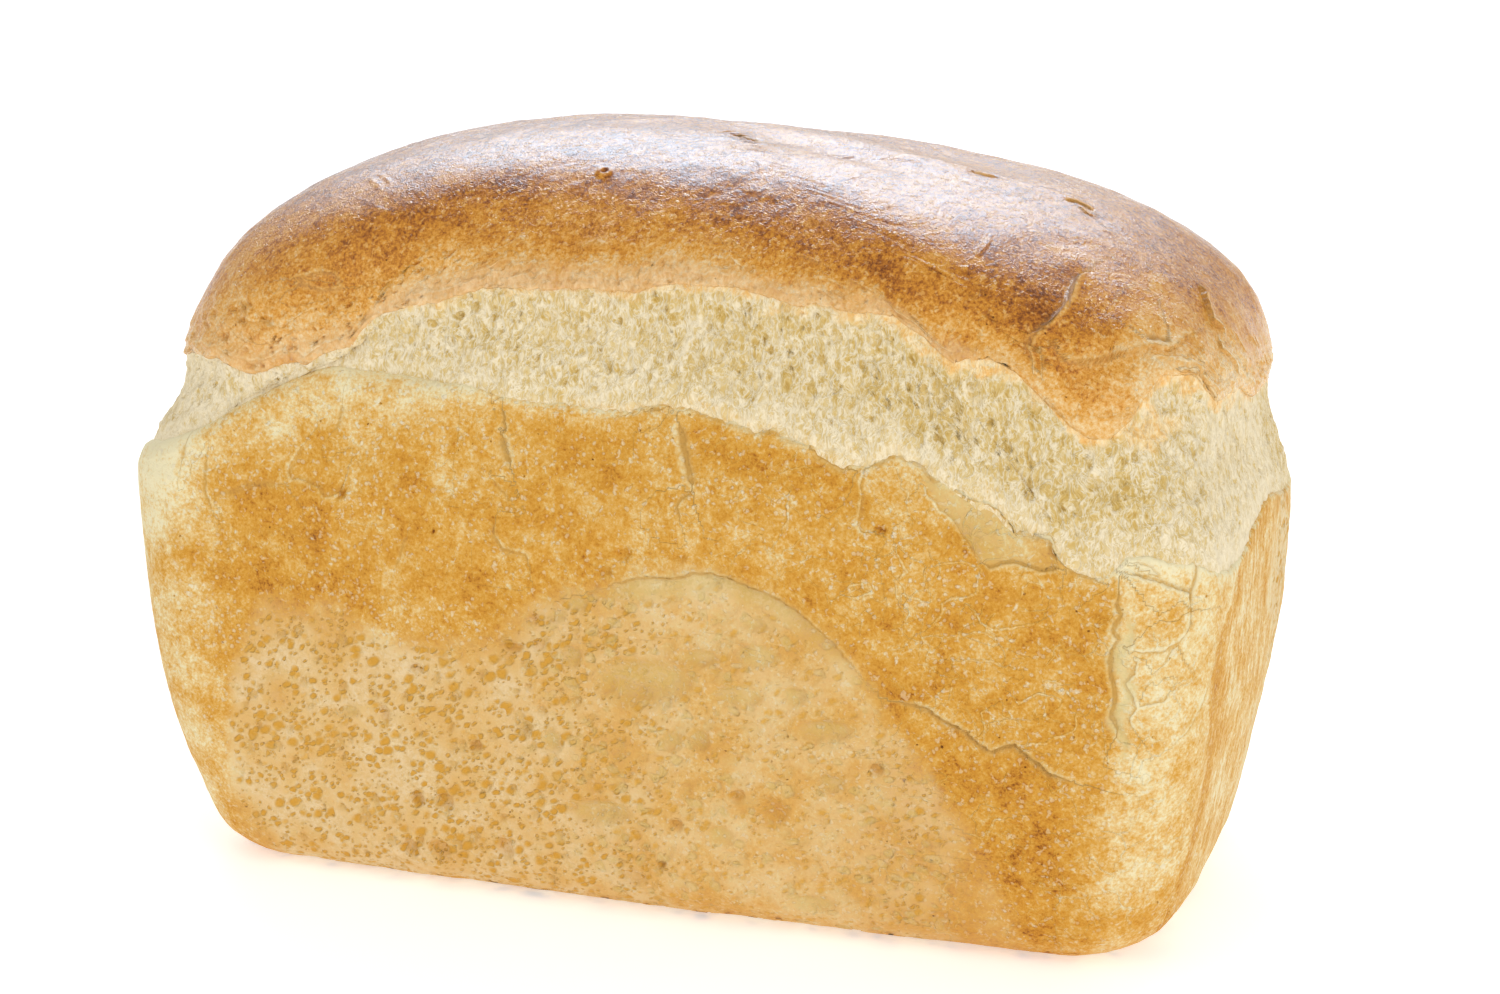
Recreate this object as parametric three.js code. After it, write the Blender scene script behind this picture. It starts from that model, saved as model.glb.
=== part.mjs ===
// Tin loaf: one uncut loaf of bread baked in a tapered tin. It is a single solid.
// Frame: millimetres, +Z up, origin on the table under the middle of the loaf, +X along its length, -Y the shown long side.
//
// The surface is built from closed rings that lie round a rounded rectangle. From the table up they are:
//   flat base -> rounded bottom edge -> tapered side crust (the tin's shape) -> rolled rim of the side crust
//   -> recessed band of torn crumb -> overhanging edge of the top crust -> domed top crust.
// The rim and the top crust's edge rise and fall round the loaf, because the dough tore unevenly as it rose.
import * as THREE from 'three';

// ---- driving sizes (mm) ----
const RIM_HALF_LENGTH = 109.2;      // half length at the tin's mouth
const RIM_HALF_WIDTH = 56.5;        // half width at the tin's mouth
const RIM_LEVEL = 84.0;             // height to which the tin's taper goes on
const TAPER = 0.126;                // how much each wall leans out per mm of height
const CORNER_RADIUS = 17.4;         // upright corners
const BOTTOM_RADIUS = 9.7;          // rounded bottom edge
const SIDE_BULGE = 3.5;             // walls belly out between base and rim
const SIDE_BOW = 1.55;              // walls bow out between the upright corners
const LEAN_IN = 0.145;              // above the mouth the walls lean back in
const LOAF_HEIGHT = 148.2;          // crown of the dome
const DOME_LEVEL = 100.1;           // level at which the dome's outline is measured
const DOME_LEFT = 102.9;            // its half length there, left end
const DOME_RIGHT = 105.3;           // the same at the right end
const DOME_HALF_WIDTH = 53.9;       // its half width there
const DOME_CORNER = 24.0;           // its corner radius
const DOME_FULL_X = 0.83;           // dome outline along the loaf: under 1 keeps the shoulders full
const DOME_FULL_Y = 0.75;           // and across it
const DOME_RISE = 0.785;            // dome profile: under 1 rises fast over the edge
const SLOPE_X = -4.1;               // the crown leans down towards the right end
const SLOPE_Y = 1.5;                // and rises a little to the back
const RIM_THICK = 1.5;              // thickness of the side crust where it tore
const RIM_STEP = 0.7;               // drop behind that rim
const OVERHANG = 1.1;               // how far the top crust stands out over the crumb
const CRUMB_HOLLOW = 1.0;           // the torn crumb is slightly hollow
const UNEVEN = 0.55;                // slow unevenness of every crust

// Height of the side crust's rim and of the top crust's edge at places round the loaf.
// A place is (side, mm along that side); the heights between are joined smoothly.
const RIM_HEIGHTS = [
  ['right', -37, 81], ['right', -10, 82], ['right', 10, 80.5], ['right', 38, 75.5], ['back', 80, 82], ['back', 50, 92], ['back', 0, 99],
  ['back', -50, 96], ['back', -85, 88], ['left', 20, 85], ['left', -30, 86], ['front', -103, 89.5], ['front', -92, 93.5],
  ['front', -80, 100], ['front', -64, 104], ['front', -45, 106], ['front', -20, 104.2], ['front', 2, 105], ['front', 16, 104.4],
  ['front', 34, 100.5], ['front', 45, 97], ['front', 55, 98.6], ['front', 66, 94], ['front', 77, 89.6], ['front', 88, 82.5],
  ['front', 103, 76.5], ['front', 111, 79.5],
];
const EDGE_HEIGHTS = [
  ['right', 0, 103], ['right', 30, 100.8], ['back', 80, 101], ['back', 50, 113], ['back', 0, 121], ['back', -50, 117], ['back', -85, 105],
  ['left', 20, 103], ['left', -30, 104.5], ['front', -110, 106], ['front', -97, 108.5], ['front', -84, 109], ['front', -70, 116],
  ['front', -60, 121.5], ['front', -44, 125], ['front', -10, 126.5], ['front', 15, 128.8], ['front', 35, 127.5], ['front', 50, 125.2],
  ['front', 66, 124.2], ['front', 75, 120.5], ['front', 83, 116.6], ['front', 91, 116], ['front', 99, 106.6], ['front', 104, 108.6],
  ['front', 113, 105], ['right', -28, 101.5],
];

// ---- how finely the solid is divided ----
const LONG_STEPS = 38, CORNER_STEPS = 6, END_STEPS = 16;
const BOTTOM_ROWS = 4, WALL_ROWS = 9, CRUMB_ROWS = 4, DOME_ROWS = 13;

// ---- perimeter: shares of the rim's own lengths, so that a column stays put up the wall ----
const SHARE_RADIUS = 17.0, SHARE_X = RIM_HALF_LENGTH - SHARE_RADIUS, SHARE_Y = 58.0 - SHARE_RADIUS;
const SHARE_C = SHARE_RADIUS * Math.PI / 2;
const SEGMENTS = [SHARE_Y, SHARE_C, 2 * SHARE_X, SHARE_C, 2 * SHARE_Y, SHARE_C, 2 * SHARE_X, SHARE_C, SHARE_Y];
const STARTS = SEGMENTS.reduce((a, s) => [...a, a[a.length - 1] + s], [0]);
const TOTAL = STARTS[9];

const clamp = (v, a, b) => Math.min(b, Math.max(a, v));
const mix = (a, b, t) => a + (b - a) * t;
const smooth = t => { const k = clamp(t, 0, 1); return k * k * (3 - 2 * k); };

// A point of the rounded rectangle with half sides a and b and corner radius r, at length s along the perimeter.
function roundedRectangle(s, a, b, r, bow) {
  const cx = Math.max(a - r, 0), cy = Math.max(b - r, 0);
  let i = 0;
  while (i < 8 && s >= STARTS[i + 1]) i++;
  const t = (s - STARTS[i]) / SEGMENTS[i], q = t * Math.PI / 2;
  switch (i) {
    case 0: return [cx + r + bow * (1 - t * t), cy * t];
    case 1: return [cx + r * Math.cos(q), cy + r * Math.sin(q)];
    case 2: { const k = 1 - 2 * t; return [cx * k, cy + r + bow * (1 - k * k)]; }
    case 3: return [-cx - r * Math.sin(q), cy + r * Math.cos(q)];
    case 4: { const k = 1 - 2 * t; return [-cx - r - bow * (1 - k * k), cy * k]; }
    case 5: return [-cx - r * Math.cos(q), -cy - r * Math.sin(q)];
    case 6: { const k = 2 * t - 1; return [cx * k, -cy - r - bow * (1 - k * k)]; }
    case 7: return [cx + r * Math.sin(q), -cy - r * Math.cos(q)];
    default: { const k = t - 1; return [cx + r + bow * (1 - k * k), cy * k]; }
  }
}
function placeOf(side, mm) {
  if (side === 'front') return STARTS[6] + SHARE_X + mm;
  if (side === 'back') return STARTS[2] + SHARE_X - mm;
  if (side === 'left') return STARTS[4] + SHARE_Y - mm;
  return (mm + TOTAL) % TOTAL;
}
// A smooth closed curve through the given heights.
function closedCurve(table) {
  const knots = table.map(([side, mm, h]) => [placeOf(side, mm), h]).sort((p, q) => p[0] - q[0]);
  const n = knots.length, gap = (i, j) => (knots[j][0] - knots[i][0] + TOTAL) % TOTAL;
  return s => {
    let k = n - 1;
    while (k >= 0 && knots[k][0] > s) k--;
    k = (k + n) % n;
    const k1 = (k + 1) % n, km = (k + n - 1) % n, k2 = (k + 2) % n, h = gap(k, k1);
    const t = ((s - knots[k][0] + TOTAL) % TOTAL) / h;
    const m0 = (knots[k1][1] - knots[km][1]) / (gap(km, k) + h) * h, m1 = (knots[k2][1] - knots[k][1]) / (h + gap(k1, k2)) * h;
    return (2 * t ** 3 - 3 * t ** 2 + 1) * knots[k][1] + (t ** 3 - 2 * t ** 2 + t) * m0
      + (-2 * t ** 3 + 3 * t ** 2) * knots[k1][1] + (t ** 3 - t ** 2) * m1;
  };
}
const rimHeight = closedCurve(RIM_HEIGHTS), edgeHeight = closedCurve(EDGE_HEIGHTS);

// Slow unevenness of dough that was never quite level: a few waves laid across each other.
function uneven(x, y, z) {
  return UNEVEN * (Math.sin(x * 0.071 + z * 0.043 + 1.3) * 0.5 + Math.sin(x * 0.113 - z * 0.087 + y * 0.05 + 4.1) * 0.35
    + Math.sin(y * 0.12 + z * 0.105 - x * 0.031 + 0.4) * 0.3);
}
// Low swells and the trough on the crown.
function swells(x, y) {
  const hill = (cx, cy, rx, ry, h) => h * Math.exp(-(((x - cx) / rx) ** 2) - ((y - cy) / ry) ** 2);
  return hill(-35, -5, 40, 30, 0.9) + hill(38, 14, 30, 12, -1.6) + hill(80, 2, 22, 26, 1.0) + hill(8, -28, 30, 14, 0.7);
}
// The folded patch of top crust near the right front corner: two ridges with a crease between.
function folds(x, y, z) {
  const ridge = (x0, z0, x1, z1, w, h) => {
    const dx = x1 - x0, dz = z1 - z0, t = clamp(((x - x0) * dx + (z - z0) * dz) / (dx * dx + dz * dz), 0, 1);
    const d = Math.hypot(x - x0 - dx * t, z - z0 - dz * t);
    return h * Math.exp(-((d / w) ** 2));
  };
  return y > 0 ? 0 : ridge(81, 130, 74.5, 115, 3.2, 1.1) + ridge(91, 120.5, 102, 115, 2.8, 0.8) - ridge(80, 116, 93, 117.5, 3.4, 0.7);
}

// ---- rings from the table up: each is a function of the place s that gives [x, y, z] ----
function wall(z) {
  const k = Math.min(z, RIM_LEVEL), over = Math.max(0, z - RIM_LEVEL);
  const d = TAPER * (k - RIM_LEVEL) + SIDE_BULGE * Math.sin(Math.PI * clamp(z / RIM_LEVEL, 0, 1)) - LEAN_IN * over;
  return [RIM_HALF_LENGTH + d, RIM_HALF_WIDTH + d];
}
function onWall(s, z, inset) {
  const [a, b] = wall(z);
  const [x, y] = roundedRectangle(s, a - inset, b - inset, Math.max(CORNER_RADIUS - inset * 0.6, 4), SIDE_BOW);
  const level = smooth(z / 14), u = 1 + uneven(x, y, z) * level / Math.hypot(x, y);
  return [x * u, y * u, z];
}
// The dome: w runs from 0 at its level line to 1 at the crown.
function dome(s, w) {
  const [x0] = roundedRectangle(s, RIM_HALF_LENGTH, RIM_HALF_WIDTH, CORNER_RADIUS, 0);
  const q = w * Math.PI / 2, c = Math.cos(q), rise = Math.sin(q);
  const a = mix(DOME_LEFT, DOME_RIGHT, (x0 / RIM_HALF_LENGTH + 1) / 2) * c ** DOME_FULL_X, b = DOME_HALF_WIDTH * c ** DOME_FULL_Y;
  const r = Math.min(mix(DOME_CORNER, 0.95 * b, w ** 0.8), Math.min(a, b) * 0.98);
  const [x, y] = roundedRectangle(s, a, b, r, SIDE_BOW * (1 - w));
  return [x, y, mix(DOME_LEVEL, LOAF_HEIGHT, rise ** DOME_RISE) + (SLOPE_X * x / 110 + SLOPE_Y * y / 55) * rise];
}
// Where on the dome the top crust's edge lies, found by halving.
const edgeCache = new Map();
function edgeOnDome(s) {
  if (!edgeCache.has(s)) {
    let lo = 0, hi = 0.95;
    for (let i = 0; i < 24; i++) { const m = (lo + hi) / 2; if (dome(s, m)[2] > edgeHeight(s)) hi = m; else lo = m; }
    edgeCache.set(s, (lo + hi) / 2);
  }
  return edgeCache.get(s);
}
const rings = [];
for (let i = 0; i <= BOTTOM_ROWS; i++) {                     // rounded bottom edge; the first ring lies on the table
  const q = i / BOTTOM_ROWS * Math.PI / 2;
  rings.push(s => {
    const z = BOTTOM_RADIUS * (1 - Math.cos(q)), [a, b] = wall(z), inset = BOTTOM_RADIUS * (1 - Math.sin(q));
    if (i > 0) return onWall(s, z, inset);
    return [...roundedRectangle(s, a - inset, b - inset, CORNER_RADIUS - inset * 0.6, SIDE_BOW), 0];
  });
}
for (let i = 1; i <= WALL_ROWS; i++) rings.push(s => onWall(s, mix(BOTTOM_RADIUS, rimHeight(s) - 0.8, i / WALL_ROWS), 0));
rings.push(s => onWall(s, rimHeight(s), RIM_THICK * 0.35));   // rolled top of the torn crust
rings.push(s => { const p = onWall(s, rimHeight(s) - RIM_STEP, RIM_THICK); return p; });
for (let i = 1; i <= CRUMB_ROWS; i++) {                      // torn crumb, from behind the rim to under the top crust
  const w = i / CRUMB_ROWS;
  rings.push(s => {
    const z0 = rimHeight(s) - RIM_STEP, low = onWall(s, z0, RIM_THICK), [x1, y1, z1] = dome(s, edgeOnDome(s));
    const in1 = 1 - OVERHANG / Math.hypot(x1, y1), hollow = 1 - CRUMB_HOLLOW * Math.sin(Math.PI * w) / Math.hypot(x1, y1), k = smooth(w);
    return [mix(low[0], x1 * in1, k) * hollow, mix(low[1], y1 * in1, k) * hollow, mix(z0, z1 - 0.8, w)];
  });
}
for (let i = 0; i < DOME_ROWS; i++) {                        // edge of the top crust, then the dome
  const t = i === 0 ? 0 : 0.015 + 0.985 * i / DOME_ROWS;
  rings.push(s => {
    const w = mix(edgeOnDome(s), 1, t), [x, y, z0] = dome(s, w), rise = Math.sin(w * Math.PI / 2);
    const z = z0 + swells(x, y) * smooth(rise * 1.5 - 0.5);
    const u = 1 + (uneven(x, y, z) + folds(x, y, z)) * (1 - t) / Math.hypot(x, y);
    return [x * u, y * u, z];
  });
}

// ---- columns: even steps along each side, closer round the corners ----
const columns = [];
SEGMENTS.forEach((length, i) => {
  const steps = i % 2 ? CORNER_STEPS : (i === 2 || i === 6) ? LONG_STEPS : i === 4 ? END_STEPS : END_STEPS / 2;
  for (let k = 0; k < steps; k++) columns.push(STARTS[i] + length * k / steps);
});

// ---- one closed surface ----
const n = columns.length, positions = [], index = [];
rings.forEach(ring => columns.forEach(s => positions.push(...ring(s))));
// The base ring lies flat and centred; the same shift moves the whole loaf so that its box is centred over the origin.
let loX = Infinity, hiX = -Infinity, loY = Infinity, hiY = -Infinity;
for (let i = 0; i < positions.length; i += 3) {
  loX = Math.min(loX, positions[i]); hiX = Math.max(hiX, positions[i]);
  loY = Math.min(loY, positions[i + 1]); hiY = Math.max(hiY, positions[i + 1]);
}
const base = rings.length * n, crown = base + 1;
positions.push((loX + hiX) / 2, (loY + hiY) / 2, 0);
positions.push(0, 0, LOAF_HEIGHT + swells(0, 0));
for (let i = 0; i < positions.length; i += 3) { positions[i] -= (loX + hiX) / 2; positions[i + 1] -= (loY + hiY) / 2; }
for (let r = 0; r + 1 < rings.length; r++) for (let k = 0; k < n; k++) {
  const a = r * n + k, b = r * n + (k + 1) % n, c = a + n, d = b + n;
  if ((r + k) % 2) index.push(a, b, d, a, d, c); else index.push(a, b, c, b, d, c);
}
for (let k = 0; k < n; k++) {
  index.push(base, (k + 1) % n, k);
  const top = (rings.length - 1) * n;
  index.push(crown, top + k, top + (k + 1) % n);
}
const geometry = new THREE.BufferGeometry();
geometry.setAttribute('position', new THREE.Float32BufferAttribute(positions, 3));
geometry.setIndex(index);
geometry.computeVertexNormals();

// Golden tan tin crust; the browned top and the pale torn band are finishes of the same solid.
const crust = new THREE.MeshStandardMaterial({ color: 0xd9a45c, roughness: 0.72, metalness: 0 });
const loaf = new THREE.Mesh(geometry, crust);
loaf.name = 'loaf';

const part = new THREE.Group();
part.add(loaf);
export default part;
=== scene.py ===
import math
import bpy
import numpy as np
from mathutils import Matrix, Vector


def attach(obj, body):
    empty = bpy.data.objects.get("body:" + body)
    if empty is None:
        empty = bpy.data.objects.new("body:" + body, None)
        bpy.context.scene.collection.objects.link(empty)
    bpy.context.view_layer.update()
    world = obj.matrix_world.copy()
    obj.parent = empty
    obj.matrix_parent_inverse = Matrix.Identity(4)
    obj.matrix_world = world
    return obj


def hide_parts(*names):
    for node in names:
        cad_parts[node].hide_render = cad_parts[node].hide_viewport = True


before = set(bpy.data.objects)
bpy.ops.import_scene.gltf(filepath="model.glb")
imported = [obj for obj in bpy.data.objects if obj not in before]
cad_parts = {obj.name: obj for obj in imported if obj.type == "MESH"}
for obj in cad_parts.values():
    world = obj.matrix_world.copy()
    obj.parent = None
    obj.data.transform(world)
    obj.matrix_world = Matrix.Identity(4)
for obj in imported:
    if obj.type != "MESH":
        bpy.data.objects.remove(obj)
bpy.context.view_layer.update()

FINE = 1.0     # mesh density while trying things

# =====================================================================================
# The loaf's driving sizes in mm. They are the CAD solid's own, so every piece lies on it.
# =====================================================================================
RIM_HALF_LENGTH, RIM_HALF_WIDTH, RIM_LEVEL, TAPER = 109.2, 56.5, 84.0, 0.126
CORNER_RADIUS, BOTTOM_RADIUS, SIDE_BULGE, SIDE_BOW, LEAN_IN = 17.4, 9.7, 3.5, 1.55, 0.145
LOAF_HEIGHT, DOME_LEVEL, DOME_LEFT, DOME_RIGHT, DOME_HALF_WIDTH, DOME_CORNER = 148.2, 100.1, 102.9, 105.3, 53.9, 24.0
DOME_FULL_X, DOME_FULL_Y, DOME_RISE, SLOPE_X, SLOPE_Y = 0.83, 0.75, 0.785, -4.1, 1.5
UNEVEN = 0.55
SHIFT = np.array([0.0448, 0.0446, 0.0])      # centres the solid over the origin
RIM_HEIGHTS = [
    ("right", -37, 81), ("right", -10, 82), ("right", 10, 80.5), ("right", 38, 75.5), ("back", 80, 82), ("back", 50, 92), ("back", 0, 99),
    ("back", -50, 96), ("back", -85, 88), ("left", 20, 85), ("left", -30, 86), ("front", -103, 89.5), ("front", -92, 93.5),
    ("front", -80, 100), ("front", -64, 104), ("front", -45, 106), ("front", -20, 104.2), ("front", 2, 105), ("front", 16, 104.4),
    ("front", 34, 100.5), ("front", 45, 97), ("front", 55, 98.6), ("front", 66, 94), ("front", 77, 89.6), ("front", 88, 82.5),
    ("front", 103, 76.5), ("front", 111, 79.5),
]
EDGE_HEIGHTS = [
    ("right", 0, 103), ("right", 30, 100.8), ("back", 80, 101), ("back", 50, 113), ("back", 0, 121), ("back", -50, 117), ("back", -85, 105),
    ("left", 20, 103), ("left", -30, 104.5), ("front", -110, 106), ("front", -97, 108.5), ("front", -84, 109), ("front", -70, 116),
    ("front", -60, 121.5), ("front", -44, 125), ("front", -10, 126.5), ("front", 15, 128.8), ("front", 35, 127.5), ("front", 50, 125.2),
    ("front", 66, 124.2), ("front", 75, 120.5), ("front", 83, 116.6), ("front", 91, 116), ("front", 99, 106.6), ("front", 104, 108.6),
    ("front", 113, 105), ("right", -28, 101.5),
]
SHARE_RADIUS = 17.0
SHARE_X, SHARE_Y, SHARE_C = RIM_HALF_LENGTH - SHARE_RADIUS, 58.0 - SHARE_RADIUS, SHARE_RADIUS * math.pi / 2
SEGMENTS = [SHARE_Y, SHARE_C, 2 * SHARE_X, SHARE_C, 2 * SHARE_Y, SHARE_C, 2 * SHARE_X, SHARE_C, SHARE_Y]
STARTS = np.concatenate([[0.0], np.cumsum(SEGMENTS)])
TOTAL = float(STARTS[9])
FRONT_MID = STARTS[6] + SHARE_X              # place of the middle of the shown long side


def clamp(v, a=0.0, b=1.0):
    return np.minimum(b, np.maximum(a, v))


def mix(a, b, t):
    return a + (b - a) * t


def smooth(t, a=0.0, b=1.0):
    k = clamp((t - a) / (b - a))
    return k * k * (3 - 2 * k)


def rounded_rectangle(s, a, b, r, bow):
    """Points of a rounded rectangle with half sides a and b and corner radius r at perimeter length s."""
    s = np.mod(s, TOTAL)
    s, a, b, r, bow = np.broadcast_arrays(s, a, b, r, bow)
    cx, cy = np.maximum(a - r, 0), np.maximum(b - r, 0)
    i = np.clip(np.searchsorted(STARTS, s, side="right") - 1, 0, 8)
    t = (s - STARTS[i]) / np.array(SEGMENTS)[i]
    q = t * math.pi / 2
    c, sn = np.cos(q), np.sin(q)
    k2, k1, k0 = 1 - 2 * t, 2 * t - 1, t - 1
    xs = [cx + r + bow * (1 - t * t), cx + r * c, cx * k2, -cx - r * sn, -cx - r - bow * (1 - k2 * k2), -cx - r * c, cx * k1, cx + r * sn, cx + r + bow * (1 - k0 * k0)]
    ys = [cy * t, cy + r * sn, cy + r + bow * (1 - k2 * k2), cy + r * c, cy * k2, -cy - r * sn, -cy - r - bow * (1 - k1 * k1), -cy - r * c, cy * k0]
    return np.choose(i, xs), np.choose(i, ys)


def place_of(side, mm):
    return {"front": STARTS[6] + SHARE_X + mm, "back": STARTS[2] + SHARE_X - mm, "left": STARTS[4] + SHARE_Y - mm, "right": mm % TOTAL}[side]


def closed_curve(table):
    """A smooth closed curve through heights given at places round the loaf."""
    knots = sorted((place_of(side, mm), h) for side, mm, h in table)
    p, v = np.array([k[0] for k in knots]), np.array([float(k[1]) for k in knots])
    n = len(p)

    def gap(i, j):
        return np.mod(p[j] - p[i], TOTAL)

    def at(s):
        s = np.mod(s, TOTAL)
        k = np.mod(np.searchsorted(p, s, side="right") - 1, n)
        k1, km, k2 = (k + 1) % n, (k - 1) % n, (k + 2) % n
        h = gap(k, k1)
        t = np.mod(s - p[k], TOTAL) / h
        m0, m1 = (v[k1] - v[km]) / (gap(km, k) + h) * h, (v[k2] - v[k]) / (h + gap(k1, k2)) * h
        return (2 * t**3 - 3 * t**2 + 1) * v[k] + (t**3 - 2 * t**2 + t) * m0 + (-2 * t**3 + 3 * t**2) * v[k1] + (t**3 - t**2) * m1
    return at


rim_height, edge_height = closed_curve(RIM_HEIGHTS), closed_curve(EDGE_HEIGHTS)


def uneven(x, y, z):
    return UNEVEN * (np.sin(x * 0.071 + z * 0.043 + 1.3) * 0.5 + np.sin(x * 0.113 - z * 0.087 + y * 0.05 + 4.1) * 0.35
                     + np.sin(y * 0.12 + z * 0.105 - x * 0.031 + 0.4) * 0.3)


def swells(x, y):
    def hill(cx, cy, rx, ry, h):
        return h * np.exp(-(((x - cx) / rx) ** 2) - ((y - cy) / ry) ** 2)
    return hill(-35, -5, 40, 30, 0.9) + hill(38, 14, 30, 12, -1.6) + hill(80, 2, 22, 26, 1.0) + hill(8, -28, 30, 14, 0.7)


def wall(z):
    k, over = np.minimum(z, RIM_LEVEL), np.maximum(0, z - RIM_LEVEL)
    d = TAPER * (k - RIM_LEVEL) + SIDE_BULGE * np.sin(math.pi * clamp(z / RIM_LEVEL)) - LEAN_IN * over
    return RIM_HALF_LENGTH + d, RIM_HALF_WIDTH + d


def on_wall(s, z, inset):
    a, b = wall(z)
    x, y = rounded_rectangle(s, a - inset, b - inset, np.maximum(CORNER_RADIUS - inset * 0.6, 4), SIDE_BOW)
    u = 1 + uneven(x, y, z) * smooth(z / 14) / np.hypot(x, y)
    return np.stack(np.broadcast_arrays(x * u, y * u, z), -1)


def dome(s, w):
    """The domed top: w runs from 0 at its level line to 1 at the crown, and below 0 it tucks under."""
    x0, _ = rounded_rectangle(s, RIM_HALF_LENGTH, RIM_HALF_WIDTH, CORNER_RADIUS, 0.0)
    q = w * math.pi / 2
    c, rise = np.maximum(np.cos(q), 0), np.sin(q)
    a = mix(DOME_LEFT, DOME_RIGHT, (x0 / RIM_HALF_LENGTH + 1) / 2) * c**DOME_FULL_X
    b = DOME_HALF_WIDTH * c**DOME_FULL_Y
    r = np.minimum(mix(DOME_CORNER, 0.95 * b, np.maximum(w, 0) ** 0.8), np.minimum(a, b) * 0.98)
    x, y = rounded_rectangle(s, a, b, r, SIDE_BOW * (1 - w))
    z = mix(DOME_LEVEL, LOAF_HEIGHT, np.sign(rise) * np.abs(rise) ** DOME_RISE) + (SLOPE_X * x / 110 + SLOPE_Y * y / 55) * rise
    return np.stack(np.broadcast_arrays(x, y, z), -1)


def edge_on_dome(s, height):
    lo, hi = np.zeros_like(s), np.full_like(s, 0.95)
    for _ in range(26):
        m = (lo + hi) / 2
        up = dome(s, m)[..., 2] > height
        lo, hi = np.where(up, lo, m), np.where(up, m, hi)
    return (lo + hi) / 2


# =====================================================================================
# Noise
# =====================================================================================
def _hash(*ks, seed=0):
    h = np.uint32((seed * 2654435761 + 97) & 0xFFFFFFFF) + np.zeros(np.shape(ks[0]), np.uint32)
    for k, m in zip(ks, (0x9E3779B1, 0x85EBCA77, 0xC2B2AE3D)):
        h = (h ^ (k.astype(np.int64) & 0xFFFFFFFF).astype(np.uint32) * np.uint32(m))
        h = (h ^ (h >> np.uint32(15))) * np.uint32(0x2C1B3C6D)
        h = (h ^ (h >> np.uint32(12))) * np.uint32(0x297A2D39)
        h ^= h >> np.uint32(15)
    return h


def _unit(h):
    return h.astype(np.float64) / 4294967296.0


_G = np.array([(1, 1, 0), (-1, 1, 0), (1, -1, 0), (-1, -1, 0), (1, 0, 1), (-1, 0, 1), (1, 0, -1), (-1, 0, -1),
               (0, 1, 1), (0, -1, 1), (0, 1, -1), (0, -1, -1), (1, 1, 0), (-1, 1, 0), (0, -1, 1), (0, -1, -1)], np.float32)


def noise(P, size, seed=0):
    """Gradient noise, about -1 to 1, of points in mm; size is one number or three, the size of a blob in mm."""
    with np.errstate(over="ignore"):
        Q = (np.asarray(P, np.float64) / np.asarray(size)).astype(np.float64)
        I = np.floor(Q)
        F = (Q - I).astype(np.float32)
        I = I.astype(np.int64)
        W = F * F * F * (F * (F * 6 - 15) + 10)
        out = np.zeros(Q.shape[:-1], np.float32)
        for dx in (0, 1):
            for dy in (0, 1):
                for dz in (0, 1):
                    g = _G[_hash(I[..., 0] + dx, I[..., 1] + dy, I[..., 2] + dz, seed=seed) & np.uint32(15)]
                    d = g[..., 0] * (F[..., 0] - dx) + g[..., 1] * (F[..., 1] - dy) + g[..., 2] * (F[..., 2] - dz)
                    w = (W[..., 0] if dx else 1 - W[..., 0]) * (W[..., 1] if dy else 1 - W[..., 1]) * (W[..., 2] if dz else 1 - W[..., 2])
                    out += w * d
        return out.astype(np.float64) * 1.1


def fbm(P, size, octaves=3, seed=0, gain=0.5):
    out, amp, norm = 0.0, 1.0, 0.0
    size = np.asarray(size, float)
    for o in range(octaves):
        out = out + amp * noise(P, size / 2**o, seed + 31 * o)
        norm += amp
        amp *= gain
    return out / norm * 1.4


def flat(*cs):
    """Points from two or one coordinates, with zeros for the rest."""
    cs = list(cs) + [np.zeros_like(cs[0])] * (3 - len(cs))
    return np.stack(np.broadcast_arrays(*cs), -1)


def cells(X, Z, size, seed=0, jitter=0.9, aspect=1.0):
    """Cell pattern in a plane: distance to the nearest and second seed (mm), the nearest's random number, and the offset from it."""
    with np.errstate(over="ignore"):
        x, z = X / size, Z / (size * aspect)
        i, k = np.floor(x).astype(np.int64), np.floor(z).astype(np.int64)
        f1 = np.full(x.shape, 9.0); f2 = np.full(x.shape, 9.0); idn = np.zeros(x.shape); ox = np.zeros(x.shape); oz = np.zeros(x.shape)
        for di in (-1, 0, 1):
            for dk in (-1, 0, 1):
                a = _hash(i + di, k + dk, seed=seed); b = _hash(i + di, k + dk, seed=seed + 7)
                px = i + di + 0.5 + (_unit(a) - 0.5) * jitter; pz = k + dk + 0.5 + (_unit(b) - 0.5) * jitter
                dx, dz = x - px, z - pz
                d = np.hypot(dx, dz)
                near = d < f1
                f2 = np.where(near, f1, np.minimum(f2, d))
                idn = np.where(near, _unit(_hash(i + di, k + dk, seed=seed + 13)), idn)
                ox, oz = np.where(near, dx, ox), np.where(near, dz, oz)
                f1 = np.where(near, d, f1)
        return f1 * size, f2 * size, idn, ox * size, oz * size * aspect


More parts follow.
